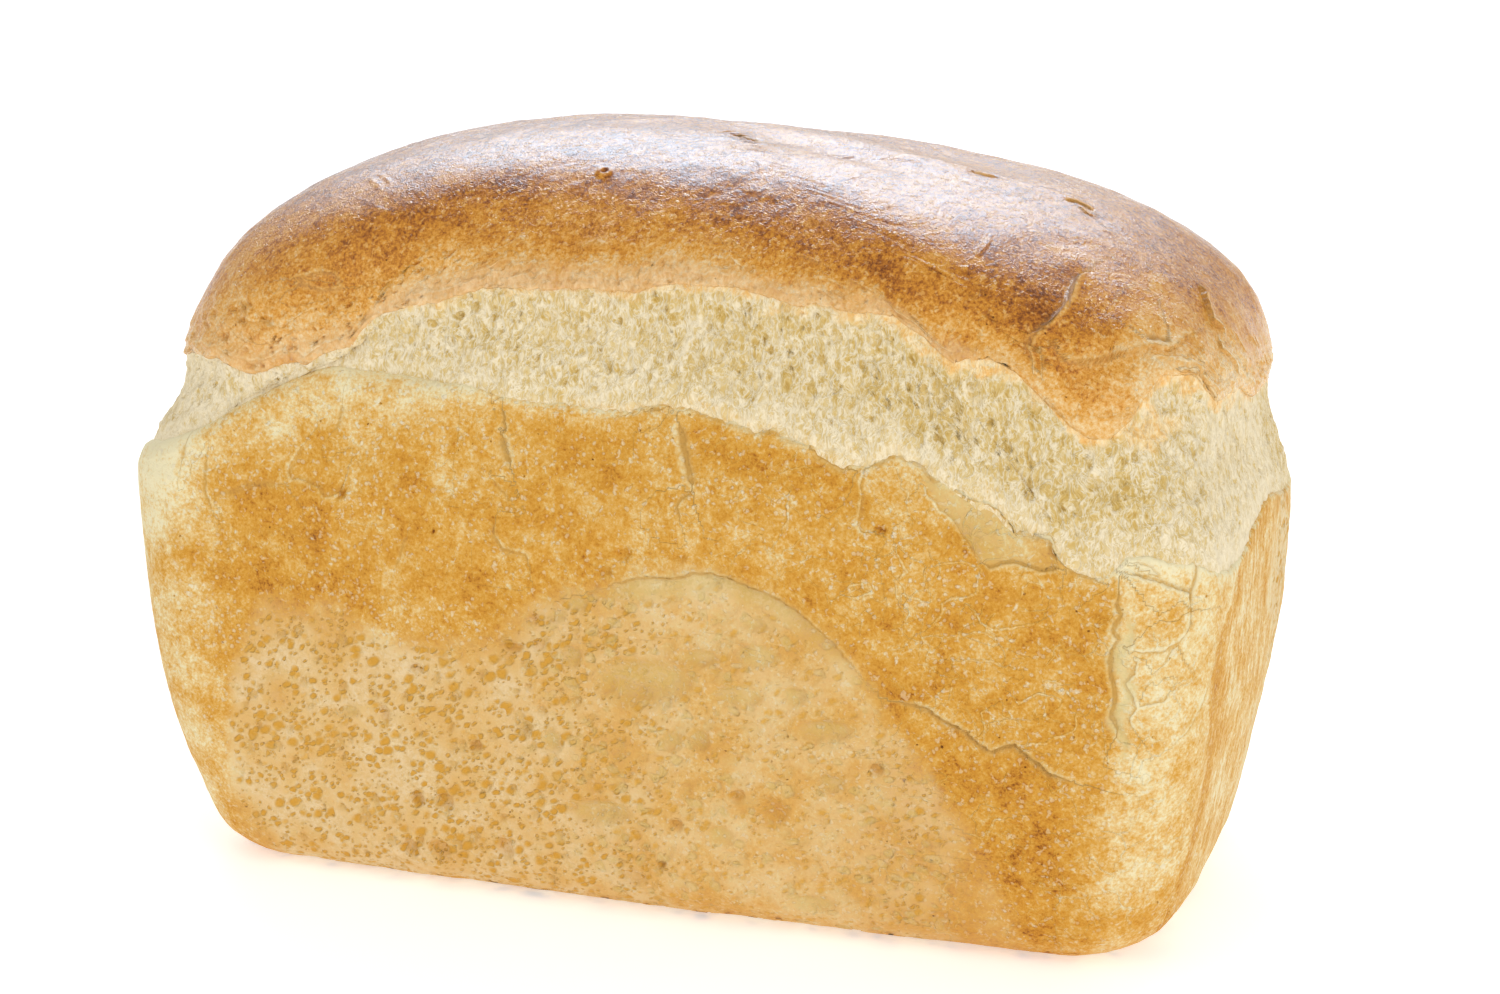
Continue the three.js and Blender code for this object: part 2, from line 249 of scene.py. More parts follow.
def pores(X, Z, size, seed, rmin, rmax, share=1.0, aspect=1.3, angle=0.0, spread=0.5, power=2.0):
    """Scattered oval pores: how deep inside a pore each point is (1 in its middle, 0 at its edge, less outside), and that pore's radius."""
    with np.errstate(over="ignore"):
        x, z = X / size, Z / size
        i, k = np.floor(x).astype(np.int64), np.floor(z).astype(np.int64)
        best = np.full(x.shape, -9.0); rad = np.zeros(x.shape)
        for di in (-1, 0, 1):
            for dk in (-1, 0, 1):
                u = [_unit(_hash(i + di, k + dk, seed=seed + 5 * n)) for n in range(5)]
                px, pz = (i + di + 0.5 + (u[0] - 0.5) * 0.85) * size, (k + dk + 0.5 + (u[1] - 0.5) * 0.85) * size
                r = rmin + (rmax - rmin) * u[2] ** power
                r = np.where(u[4] < share, r, 1e-3)
                th = angle + (u[3] - 0.5) * 2 * spread
                c, s = np.cos(th), np.sin(th)
                dx, dz = X - px, Z - pz
                e = np.hypot((dx * c + dz * s) / aspect**0.5, (-dx * s + dz * c) * aspect**0.5)
                q = 1 - e / r
                near = q > best
                best = np.where(near, q, best); rad = np.where(near, r, rad)
        return best, rad


def line_distance(P, pts, normals=None):
    """Distance of points to a polyline in space (mm), how far along it (0 to 1), and on which side of it (seen from outside)."""
    pts = np.asarray(pts, float)
    best = np.full(P.shape[:-1], 1e9); along = np.zeros(P.shape[:-1]); side = np.ones(P.shape[:-1])
    seg = np.linalg.norm(np.diff(pts, axis=0), axis=1)
    cum = np.concatenate([[0], np.cumsum(seg)])
    for j in range(len(pts) - 1):
        a, d = pts[j], pts[j + 1] - pts[j]
        t = np.clip(((P - a) @ d) / (d @ d), 0, 1)
        v = P - (a + t[..., None] * d)
        dist = np.sqrt((v * v).sum(-1))
        near = dist < best
        best = np.where(near, dist, best)
        along = np.where(near, (cum[j] + t * seg[j]) / cum[-1], along)
        if normals is not None:
            sg = np.sign(np.einsum("...i,...i->...", np.cross(d, v), normals))
            side = np.where(near, sg, side)
    return best, along, side


# =====================================================================================
# From a grid of points to a mesh piece
# =====================================================================================
def grid_normals(P, wrap=False):
    du = (np.roll(P, -1, 1) - np.roll(P, 1, 1)) if wrap else np.gradient(P, axis=1)
    dv = np.gradient(P, axis=0)
    n = np.cross(du, dv)
    return n / np.maximum(np.linalg.norm(n, axis=-1, keepdims=True), 1e-12)


def make_piece(name, P, attrs, material, wrap=False, uv_u=None, uv_v=None, normals=None, quads=None, flip=False):
    """A mesh piece from a grid of points P[row, column] in mm. attrs are numbers per point that the material reads."""
    nr, nc = P.shape[:2]
    idx = np.arange(nr * nc).reshape(nr, nc)
    if wrap:
        r, c = idx, np.roll(idx, -1, 1)
    else:
        r, c = idx[:, :-1], idx[:, 1:]
    f = np.stack([r[:-1], c[:-1], c[1:], r[1:]], -1).reshape(-1, 4)
    if flip:
        f = f[:, ::-1]
    me = bpy.data.meshes.new(name)
    me.vertices.add(nr * nc)
    me.vertices.foreach_set("co", (P.reshape(-1, 3) / 1000.0).astype(np.float32).ravel())
    n = len(f)
    me.loops.add(n * 4)
    me.loops.foreach_set("vertex_index", f.astype(np.int32).ravel())
    me.polygons.add(n)
    me.polygons.foreach_set("loop_start", (np.arange(n) * 4).astype(np.int32))
    me.polygons.foreach_set("use_smooth", np.ones(n, bool))
    me.update(calc_edges=True)
    # one map for the whole piece: columns run across it, rows up it
    uu = np.linspace(0, 1, nc + (1 if wrap else 0)) if uv_u is None else uv_u
    vv = np.linspace(0, 1, nr) if uv_v is None else uv_v
    col = (f % nc).astype(np.int64)
    row = f // nc
    if wrap:      # the last column's faces end at the map's right edge
        cc = np.broadcast_to(np.arange(c.shape[1]), c[:-1].shape).reshape(-1)
        left, right = cc, cc + 1
        order = [left, right, right, left]
        if flip:
            order = order[::-1]
        col = np.stack(order, -1)
    uvl = me.uv_layers.new(name="OFBake")
    uv = np.stack([0.004 + 0.992 * uu[col], 0.004 + 0.992 * vv[row]], -1).astype(np.float32)
    uvl.data.foreach_set("uv", uv.ravel())
    for key, val in attrs.items():
        a = me.attributes.new(key, "FLOAT", "POINT")
        a.data.foreach_set("value", np.ascontiguousarray(np.broadcast_to(val, (nr, nc)), np.float32).ravel())
    if normals is not None:
        me.normals_split_custom_set_from_vertices((normals if not flip else -normals).reshape(-1, 3).astype(np.float32))
    me.validate(clean_customdata=False)
    ob = bpy.data.objects.new(name, me)
    bpy.context.scene.collection.objects.link(ob)
    me.materials.append(material)
    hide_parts("loaf")
    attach(ob, "root")
    return ob


# =====================================================================================
# Materials
# =====================================================================================
class Graph:
    """Short names for shader nodes."""

    def __init__(self, name):
        self.m = bpy.data.materials.new(name)
        self.m.use_nodes = True
        self.t = self.m.node_tree
        self.t.nodes.clear()
        self.out = self.t.nodes.new("ShaderNodeOutputMaterial")
        self.bsdf = self.t.nodes.new("ShaderNodeBsdfPrincipled")
        self.t.links.new(self.bsdf.outputs[0], self.out.inputs[0])
        tc = self.t.nodes.new("ShaderNodeTexCoord")
        self.co = tc.outputs["Object"]

    def put(self, socket, v):
        if hasattr(v, "is_linked"):
            self.t.links.new(v, socket)
        elif isinstance(v, (tuple, list)) and len(v) == 3 and len(socket.default_value) == 4:
            socket.default_value = (*v, 1)
        else:
            socket.default_value = v

    def attr(self, name):
        n = self.t.nodes.new("ShaderNodeAttribute")
        n.attribute_name = name
        return n.outputs["Fac"]

    def math(self, op, a, b=0.0, c=0.0, clampit=False):
        n = self.t.nodes.new("ShaderNodeMath")
        n.operation, n.use_clamp = op, clampit
        for s, v in zip(n.inputs, (a, b, c)):
            self.put(s, v)
        return n.outputs[0]

    def add(self, a, b): return self.math("ADD", a, b)
    def mul(self, a, b): return self.math("MULTIPLY", a, b)
    def sub(self, a, b): return self.math("SUBTRACT", a, b)
    def mad(self, a, b, c): return self.math("MULTIPLY_ADD", a, b, c)
    def sat(self, a): return self.math("ADD", a, 0.0, clampit=True)
    def mx(self, a, b): return self.math("MAXIMUM", a, b)
    def mn(self, a, b): return self.math("MINIMUM", a, b)

    def range(self, v, a, b, c=0.0, d=1.0, kind="SMOOTHSTEP"):
        n = self.t.nodes.new("ShaderNodeMapRange")
        n.interpolation_type = kind
        for k, x in zip(("Value", "From Min", "From Max", "To Min", "To Max"), (v, a, b, c, d)):
            self.put(n.inputs[k], x)
        return n.outputs[0]

    def stretch(self, sx, sy, sz, vec=None):
        n = self.t.nodes.new("ShaderNodeMapping")
        n.inputs["Scale"].default_value = (sx, sy, sz)
        self.t.links.new(vec or self.co, n.inputs["Vector"])
        return n.outputs[0]

    def warp(self, vec, size, amount):
        """The coordinates pushed about by noise with blobs of size mm, by up to amount mm."""
        n = self.noise(size, 1, vec=vec, colour=True)
        v = self.t.nodes.new("ShaderNodeVectorMath"); v.operation = "MULTIPLY_ADD"
        self.t.links.new(n, v.inputs[0])
        v.inputs[1].default_value = (amount / 500.0,) * 3
        self.t.links.new(vec, v.inputs[2])
        return v.outputs[0]

    def noise(self, mm, detail=2.0, rough=0.5, dist=0.0, vec=None, colour=False, kind="FBM"):
        n = self.t.nodes.new("ShaderNodeTexNoise")
        n.noise_type = kind
        n.inputs["Scale"].default_value = 1000.0 / mm
        n.inputs["Detail"].default_value = detail
        n.inputs["Roughness"].default_value = rough
        n.inputs["Distortion"].default_value = dist
        self.t.links.new(vec or self.co, n.inputs["Vector"])
        return n.outputs["Color" if colour else 0]

    def voronoi(self, mm, feature="F1", rand=1.0, vec=None, out="Distance"):
        n = self.t.nodes.new("ShaderNodeTexVoronoi")
        n.feature = feature
        n.inputs["Scale"].default_value = 1000.0 / mm
        n.inputs["Randomness"].default_value = rand
        self.t.links.new(vec or self.co, n.inputs["Vector"])
        return n.outputs[out]

    def voronoi2(self, mm, vec=None):
        """Distance to the nearest point (in cells) and that point's random grey."""
        n = self.t.nodes.new("ShaderNodeTexVoronoi")
        n.feature = "F1"
        n.inputs["Scale"].default_value = 1000.0 / mm
        self.t.links.new(vec or self.co, n.inputs["Vector"])
        return n.outputs["Distance"], n.outputs["Color"]

    def turn(self, angle, vec=None):
        n = self.t.nodes.new("ShaderNodeMapping")
        n.inputs["Rotation"].default_value = (0, angle, 0)
        self.t.links.new(vec or self.co, n.inputs["Vector"])
        return n.outputs[0]

    def shift(self, mm, vec=None):
        n = self.t.nodes.new("ShaderNodeMapping")
        n.inputs["Location"].default_value = (mm / 1000.0 * 7, mm / 1000.0 * 3, mm / 1000.0 * 5)
        self.t.links.new(vec or self.co, n.inputs["Vector"])
        return n.outputs[0]

    def mixc(self, f, a, b, blend="MIX"):
        n = self.t.nodes.new("ShaderNodeMix")
        n.data_type, n.blend_type = "RGBA", blend
        n.clamp_factor = True
        self.put(n.inputs[0], f)
        self.put(n.inputs[6], a if hasattr(a, "is_linked") else (*a, 1))
        self.put(n.inputs[7], b if hasattr(b, "is_linked") else (*b, 1))
        return n.outputs[2]

    def ramp(self, f, stops):
        n = self.t.nodes.new("ShaderNodeValToRGB")
        e = n.color_ramp.elements
        while len(e) < len(stops):
            e.new(0.5)
        for el, (p, c) in zip(e, stops):
            el.position, el.color = p, (*c, 1)
        self.put(n.inputs[0], f)
        return n.outputs[0]

    def bump(self, height, mm, strength=1.0, normal=None):
        n = self.t.nodes.new("ShaderNodeBump")
        n.inputs["Strength"].default_value = strength
        n.inputs["Distance"].default_value = mm / 1000.0
        self.put(n.inputs["Height"], height)
        if normal is not None:
            self.t.links.new(normal, n.inputs["Normal"])
        return n.outputs[0]


# bread colours (linear) from pale crumb to burnt crust
BREAD = [(0.00, (0.86, 0.71, 0.45)), (0.16, (0.83, 0.61, 0.31)), (0.32, (0.78, 0.475, 0.175)), (0.46, (0.72, 0.370, 0.078)),
         (0.60, (0.64, 0.275, 0.030)), (0.74, (0.50, 0.185, 0.018)), (0.88, (0.32, 0.100, 0.012)), (1.00, (0.17, 0.050, 0.008))]
# the same for the sides, which the tin kept from browning deeply
GOLDEN = [(0.00, (0.87, 0.72, 0.46)), (0.16, (0.83, 0.61, 0.31)), (0.32, (0.78, 0.475, 0.175)), (0.46, (0.72, 0.370, 0.078)),
          (0.60, (0.67, 0.305, 0.040)), (0.76, (0.59, 0.240, 0.027)), (0.90, (0.40, 0.135, 0.016)), (1.00, (0.20, 0.060, 0.010))]


def crust_material(name, top=False):
    """Browned crust: mottled, with pale flecks and blisters, pin-holes, torn flakes' edges and the pores of a lean skin."""
    g = Graph(name)
    tone, pale, dark, speck, olive = (g.attr(k) for k in ("tone", "pale", "dark", "speck", "olive"))
    flow = g.stretch(1.0, 0.8, 1.0) if top else g.co
    wco = g.warp(flow, 3.0, 1.4)
    near = g.warp(g.co, 1.5, 0.5)
    n1 = g.noise(2.1, 3, 0.62, vec=wco)
    n2 = g.noise(0.66 if top else 0.60, 3, 0.72 if top else 0.68, vec=flow)
    n3 = g.noise(8.5, 2, 0.5)
    calm = 1.0 if top else g.mad(g.attr("skin"), -0.55, 1.0)      # the open-pored skin is even between its pores
    t = g.mad(g.mul(g.sub(n1, 0.5), calm), 0.65 if top else 0.82, tone)
    t = g.mad(g.mul(g.sub(n2, 0.5), calm), 1.20 if top else 0.95, t)
    t = g.mad(g.sub(n3, 0.5), 0.45 if top else 0.68, t)
    # irregular pale flecks, short curly strokes and small round blisters
    fl = g.noise(1.25, 2, 0.6, vec=near)
    flecks = g.mul(g.range(fl, 0.595, 0.685), speck)
    st = g.math("ABSOLUTE", g.sub(g.noise(2.4, 1, 0.5, vec=wco), 0.5))
    strokes = g.mul(g.mul(g.range(st, 0.030, 0.006), g.range(g.noise(5.0, 0, 0.5), 0.50, 0.58)), speck)
    bv, bc = g.voronoi2(1.45, vec=near)
    blister = g.mul(g.mul(g.range(bv, 0.33, 0.20), g.range(bc, 0.50, 0.56)), speck)
    t = g.mad(flecks, -0.18, t)
    t = g.mad(strokes, -0.11, t)
    t = g.mad(blister, -0.15, t)
    pv, pc = g.voronoi2(3.4, vec=near)
    pin = g.mul(g.range(pv, 0.075, 0.035), g.range(pc, 0.48, 0.54))
    t = g.mad(pin, 0.38, t)
    h = g.add(g.mul(n1, 0.34 if top else 0.50), g.mul(n2, 0.38 if top else 0.42))
    h = g.mad(flecks, 0.20, h)
    h = g.mad(strokes, 0.16, h)
    h = g.mad(blister, 0.34, h)
    h = g.mad(pin, -0.8, h)
    # flaky lines: edges of thin torn plates
    web = g.attr("web")
    edge = g.voronoi(6.5, "DISTANCE_TO_EDGE", 1.0, vec=g.warp(near, 5.0, 3.2))
    part = g.range(g.noise(8.0, 1, 0.5), 0.47, 0.55)
    webs = g.mul(g.mul(g.range(edge, 0.040, 0.006), part), web)
    t = g.mad(webs, -0.13, t)
    h = g.mad(webs, 0.34, h)
    # drawn cracks and flakes: crk is the signed distance to the nearest one
    crk, crw, crp = g.attr("crk"), g.attr("crw"), g.attr("crp")
    core = g.range(g.math("ABSOLUTE", crk), 0.40, 0.13)
    dcore, pcore = g.mul(core, g.mx(crw, 0.0)), g.mul(core, g.mx(g.mul(crw, -1.0), 0.0))
    lip = g.mul(g.mul(g.range(crk, 0.05, 0.24), g.range(crk, 1.0, 0.42)), crp)
    t = g.mad(lip, -0.22, t)
    t = g.mad(g.mul(pcore, g.range(n1, 0.38, 0.56)), -0.24, t)      # thin flakes come and go along their edges
    # painted shade: darker in the narrow cores of cracks and slits and under flakes' edges
    t = g.mad(dcore, 0.17, t)
    h = g.mad(pcore, 0.40, h)
    h = g.mad(lip, 0.30, h)
    h = g.mad(dcore, -0.25, h)
    seam = g.mul(g.range(g.math("ABSOLUTE", crk), 0.95, 0.20), g.mx(crw, 0.0))
    if not top:
        # open pores of the pale skin, longer one way, and upright grain on the ends
        skin = g.attr("skin")
        lean = g.stretch(1.0, 1.0, 1.55, vec=g.turn(0.62, vec=near))
        inside = None
        for mm, r0, r1, amount, seed in ((3.5, 0.08, 0.42, 1.0, 0.0), (2.3, 0.11, 0.43, 1.0, 3.7), (1.5, 0.11, 0.37, 0.85, 7.9)):
            d, c = g.voronoi2(mm, vec=g.shift(seed, lean))
            rad = g.mul(g.range(c, 0.34, 0.74, r0, r1), g.range(skin, 0.10, 0.90, 0.45, 1.0))
            q = g.mul(g.range(g.sub(d, rad), 0.13, -0.20), amount)
            inside = q if inside is None else g.mx(inside, q)
        inside = g.mul(inside, g.range(skin, 0.12, 0.70))
        t = g.mad(g.mul(skin, g.sub(1.0, inside)), -0.22, t)
        t = g.mad(inside, 0.10, t)
        h = g.mad(inside, -0.95, h)
        # shallow leaner dimples where the skin blistered
        dimp = g.attr("dimp")
        dd, dc = g.voronoi2(3.3, vec=g.stretch(1.0, 1.0, 1.3, vec=g.shift(2.2, wco)))
        dimple = g.mul(g.range(g.sub(dd, g.range(dc, 0.36, 0.70, 0.04, 0.40)), 0.12, -0.14), dimp)
        t = g.mad(dimple, 0.07, t)
        h = g.mad(dimple, -0.75, h)
        grain = g.attr("grain")
        gr = g.noise(1.3, 2, 0.6, vec=g.stretch(1, 1, 0.16, vec=near))
        t = g.mad(g.mul(g.sub(gr, 0.5), grain), 1.0, t)
        h = g.mad(g.mul(gr, grain), 0.5, h)
    t = g.mad(pale, -0.30, t)
    # dark is partly painted shade (under the upper edges of pits, in open holes) and partly dark marks
    t = g.mad(dark, 0.45, t)
    both = g.add(g.mul(n2, 0.5), g.mul(n1, 0.5))
    col = g.ramp(g.sat(t), BREAD if top else GOLDEN)
    col = g.mixc(g.mul(g.add(flecks, blister), 0.30), col, (0.74, 0.46, 0.19) if top else (0.80, 0.62, 0.47))
    if not top:
        lean_part = g.range(n3, 0.38, 0.62, 0.72, 0.30)
        col = g.mixc(g.mul(g.mul(skin, g.sub(1.0, inside)), lean_part), col, g.mixc(g.range(both, 0.40, 0.60), (0.70, 0.42, 0.17), (0.82, 0.60, 0.37)))
        # each pore is palest at its edge and deep gold in its middle
        col = g.mixc(g.mul(inside, 0.90), col, g.ramp(g.mad(g.sub(both, 0.5), 0.9, inside), [(0.0, (0.83, 0.54, 0.24)), (0.5, (0.76, 0.42, 0.10)), (1.0, (0.67, 0.32, 0.045))]))
        col = g.mixc(g.mul(dimple, 0.50), col, g.mixc(g.range(both, 0.40, 0.60), (0.62, 0.42, 0.13), (0.76, 0.57, 0.28)))
    # leaner where the skin tore off
    col = g.mixc(g.mul(g.sat(olive), 0.68), col, g.mixc(g.range(both, 0.40, 0.60), (0.62, 0.44, 0.15), (0.80, 0.65, 0.36)))
    col = g.mixc(g.mul(seam, 0.55), col, (0.68, 0.42, 0.15))        # warmer along the cracks: partly the crust's warmer inside, partly painted warm shade in the crease
    # painted shade in the crack's core
    col = g.mixc(g.mul(dcore, 0.65), col, (0.52, 0.27, 0.06))
    # near black where dark is highest: painted shade in open holes, and the darkest bits low on the bottom edge
    col = g.mixc(g.range(dark, 0.75, 1.0), col, (0.09, 0.045, 0.015))
    if top:
        # the thin flaky margin is pinkish and drawn out upwards
        pulled = g.noise(0.9, 2, 0.62, vec=g.stretch(1, 1, 0.30, vec=wco))
        col = g.mixc(g.mul(g.attr("pink"), 0.62), col, g.mixc(g.range(g.add(g.mul(n2, 0.4), g.mul(pulled, 0.6)), 0.40, 0.60), (0.60, 0.335, 0.13), (0.88, 0.65, 0.40)))
        h = g.mad(g.mul(g.attr("pink"), pulled), 0.5, h)
    else:
        col = g.mixc(1.0, col, (0.93, 1.0, 1.0), "MULTIPLY")
    g.put(g.bsdf.inputs["Base Color"], col)
    h = g.mad(g.noise(0.38, 2, 0.6), 0.27 if top else 0.12, h)
    g.put(g.bsdf.inputs["Normal"], g.bump(h, 0.36, 1.0))
    r = g.range(n2, 0.3, 0.7, 0.14 if top else 0.55, 0.25 if top else 0.72, "LINEAR")
    if top:
        r = g.mad(g.add(lip, core), 0.30, r)      # torn edges are dull
    g.bsdf.inputs["Specular IOR Level"].default_value = 0.26 if top else 0.10
    g.put(g.bsdf.inputs["Roughness"], r)
    return g.m


def crumb_material(name):
    """Torn crumb: upright silky fibres with pale ridges and golden hollows; the hollows' deeper gold and the dark of
    its holes are painted shade.
    """
    g = Graph(name)
    tone, pale, dark, olive = (g.attr(k) for k in ("tone", "pale", "dark", "olive"))
    pushed = g.warp(g.co, 3.0, 1.4)
    up = g.stretch(1, 1, 0.33, vec=pushed)
    f1 = g.math("ABSOLUTE", g.sub(g.noise(1.25, 2, 0.55, vec=up), 0.5))
    f2 = g.math("ABSOLUTE", g.sub(g.noise(0.62, 1, 0.55, vec=g.shift(5.0, up)), 0.5))
    ridge1, ridge2 = g.range(f1, 0.070, 0.0), g.range(f2, 0.080, 0.0)
    mot = g.noise(1.5, 3, 0.6)
    soft = g.noise(5.0, 2, 0.5)
    t = g.mad(g.sub(mot, 0.5), 0.80, tone)
    t = g.mad(g.sub(soft, 0.5), 0.42, t)
    t = g.mad(ridge1, -0.38, t)
    t = g.mad(ridge2, -0.30, t)
    t = g.mad(pale, -0.34, t)
    h = g.mad(ridge1, 0.36, g.mul(mot, 0.30))
    h = g.mad(ridge2, 0.26, h)
    # open cells, taller than wide, with thin pale walls between them; their sunk middles are painted darker gold as
    # shade
    hollows = None
    tall = g.warp(g.stretch(1, 1, 0.58, vec=pushed), 1.2, 0.45)
    for mm, lo, hi, amount, seed in ((2.5, 0.46, 0.60, 1.0, 0.0), (1.35, 0.42, 0.58, 0.75, 4.3)):
        place = g.shift(seed, tall)
        e = g.voronoi(mm, "DISTANCE_TO_EDGE", 1.0, vec=place)
        d, c = g.voronoi2(mm, vec=place)
        cell = g.mul(g.range(c, lo, hi, 0.0, amount), g.attr("holes"))
        hollow = g.mul(g.range(e, 0.06, 0.32), cell)
        thin = g.mul(g.range(e, 0.085, 0.02), cell)
        t = g.mad(hollow, 0.24, t)
        t = g.mad(thin, -0.26, t)
        h = g.mad(hollow, -0.45, h)
        h = g.mad(thin, 0.30, h)
        hollows = hollow if hollows is None else g.mx(hollows, hollow)
    # painted shade: dark marks the shaded holes and the upper parts of arched hollows
    t = g.mad(dark, 0.45, t)
    crumb = g.ramp(g.sat(t), [(0.0, (0.79, 0.695, 0.50)), (0.22, (0.71, 0.600, 0.385)), (0.42, (0.65, 0.510, 0.255)), (0.60, (0.59, 0.425, 0.160)),
                              (0.80, (0.52, 0.345, 0.095)), (1.0, (0.42, 0.25, 0.05))])
    # olive gold where the crumb is hollow or marked olive: in hollows and holes this is painted shade
    crumb = g.mixc(g.mad(hollows, 0.10, g.mul(g.sat(olive), 0.34)), crumb, g.mixc(g.range(mot, 0.38, 0.62), (0.58, 0.41, 0.13), (0.70, 0.54, 0.27)))
    # browned towards the crusts
    brown = g.ramp(g.sat(g.add(g.attr("brown"), g.mad(g.sub(mot, 0.5), 1.0, g.mul(g.add(ridge1, ridge2), -0.09)))), BREAD)
    col = g.mixc(g.range(g.attr("brown"), 0.08, 0.32), crumb, brown)
    g.put(g.bsdf.inputs["Base Color"], col)
    g.put(g.bsdf.inputs["Emission Color"], g.mixc(1.0, col, (1.0, 0.84, 0.60), "MULTIPLY"))      # painted glow: the crumb gives off a faint light in its own colour, standing in for light that seeps through the thin crumb and warms its shade
    g.bsdf.inputs["Emission Strength"].default_value = 0.11
    h = g.mad(g.noise(0.35, 2, 0.6), 0.16, h)
    g.put(g.bsdf.inputs["Normal"], g.bump(h, 0.21, 1.0))
    g.put(g.bsdf.inputs["Roughness"], g.range(mot, 0.3, 0.7, 0.70, 0.86, "LINEAR"))
    g.bsdf.inputs["Specular IOR Level"].default_value = 0.06
    return g.m


SIDE_MAT = crust_material("crust_side")
TOP_MAT = crust_material("crust_top", top=True)
CRUMB_MAT = crumb_material("crumb")


# =====================================================================================
# The ragged lines where the crust tore
# =====================================================================================
def front_x(s):
    """Length along the shown side from its middle, in mm; it runs on round the corners."""
    return np.mod(s - FRONT_MID + TOTAL / 2, TOTAL) - TOTAL / 2


def near_line(s, table, default, lo, hi):
    """A line measured along the shown side that passes into the slow curve beyond its ends."""
    x = front_x(s)
    t = np.array(table)
    inside = smooth(x, lo - 9, lo) * smooth(x, hi + 9, hi)
    return mix(default, np.interp(x, t[:, 0], t[:, 1]), inside)


RIM_LINE = [(-103, 90.1), (-96.8, 92.1), (-92.3, 93.9), (-87.9, 96.3), (-83.8, 98.9), (-79.4, 101.2), (-75.1, 103.4), (-70.9, 105.6), (-66.6, 107.4), (-62.4, 108.2),
            (-57.9, 107.9), (-51.4, 107.5), (-44.8, 107), (-38.2, 106.4), (-33.9, 106.8), (-29.6, 106.1), (-24, 105), (-19.1, 104.5), (-12, 104.5), (-6, 103.8),
            (-2, 103.7), (1.7, 103.9), (4.7, 104.9), (7.8, 105.9), (10.7, 105), (12, 105.6), (14.6, 105.4), (16.6, 104.5), (20, 104.1), (23.4, 103.2), (26.7, 102.3),
            (28.6, 102.3), (30.5, 103.2), (31.8, 101.6), (34.7, 101.1), (38.1, 100.3), (41.6, 98.3), (44.6, 97.3), (48.5, 97.3), (51.4, 99.1), (54.5, 100.2),
            (56.6, 99.3), (59.2, 98.5), (59.8, 97.3), (62.7, 95.6), (66.5, 93.8), (69.4, 92.6), (71.4, 92.9), (74.1, 90.3), (76.3, 87.9), (80, 87.3), (82.2, 87.4),
            (83.5, 83.7), (85.1, 82.3), (88.2, 81.1), (91.5, 80.2), (93.8, 82.3), (96, 84.5), (99.7, 84.8), (103.1, 83.4), (108.8, 82.6), (112.7, 80.4), (122.9, 77.5),
            (132.2, 77.6), (139.9, 78.3), (144.1, 79.9), (153.1, 80.8)]
EDGE_LINE = [(-109.9, 105.9), (-104.6, 107.8), (-100.4, 107.9), (-98.9, 108.7), (-97.4, 107.8), (-94.9, 107), (-92.5, 106.1), (-90.1, 106.9), (-87.4, 108.2), (-83.9, 109.2),
             (-79.7, 108.9), (-77.4, 111), (-73.8, 112), (-71, 112.8), (-69.9, 115.7), (-69.2, 117.6), (-67.4, 119.2), (-63.7, 120.3), (-59.8, 121.3), (-55.1, 121.8),
             (-51.7, 122.7), (-47.1, 124), (-43.1, 125), (-36.3, 125.1), (-24.6, 125.5), (-11.4, 126), (2, 125.9), (6.2, 126.7), (11.6, 127.4), (18.2, 127.6),
             (25.7, 127.5), (33.3, 127.5), (38.8, 126.7), (42, 126.2), (46.5, 125.2), (49.1, 124.9), (53.2, 125.8), (57.7, 125.2), (63.8, 124.4), (68.8, 124.7),
             (74.4, 124.3), (75.6, 123), (78.5, 121.1), (79.7, 118.7), (81.5, 116.8), (84.7, 117.8), (88.5, 117.8), (91.6, 118.2), (93.1, 116.9), (93.8, 115),
             (94.5, 111.5), (95.3, 109.5), (96, 107.2), (97.6, 105.2), (100.1, 104.6), (101.4, 106.6), (103.4, 108.5), (104.6, 110.3), (105.6, 111.5), (106.6, 113),
             (107.8, 114.4), (109.5, 114.4), (111.6, 113.7), (114.2, 112.6), (115.8, 110), (118.5, 107.4), (124, 106.8), (129.5, 106.9), (136.2, 106.6), (142.4, 106.8), (150.6, 105.4)]


def rim_line(s):
    """The side crust's torn upper rim."""
    p = flat(s, np.zeros_like(s))
    rag = 0.9 * noise(p, 9, 3) + 0.75 * np.abs(noise(p, 4.2, 4))
    fine = 0.42 * noise(p, 1.9, 5) + 0.26 * noise(p, 0.9, 6)
    x = front_x(s)
    calm = mix(1.0, 0.25, smooth(x, -30, -45) * smooth(x, -125, -110))
    return near_line(s, RIM_LINE, rim_height(s) + rag, -103, 150) + fine * calm


def edge_line(s):
    """The top crust's lower edge."""
    p = flat(s, np.ones_like(s) * 7)
    rag = 0.8 * noise(p, 12, 13) - 0.9 * np.abs(noise(p, 5.2, 14))
    fine = 0.40 * noise(p, 2.2, 15) + 0.22 * noise(p, 0.9, 16)
    return near_line(s, EDGE_LINE, edge_height(s) + rag, -109, 148) + fine


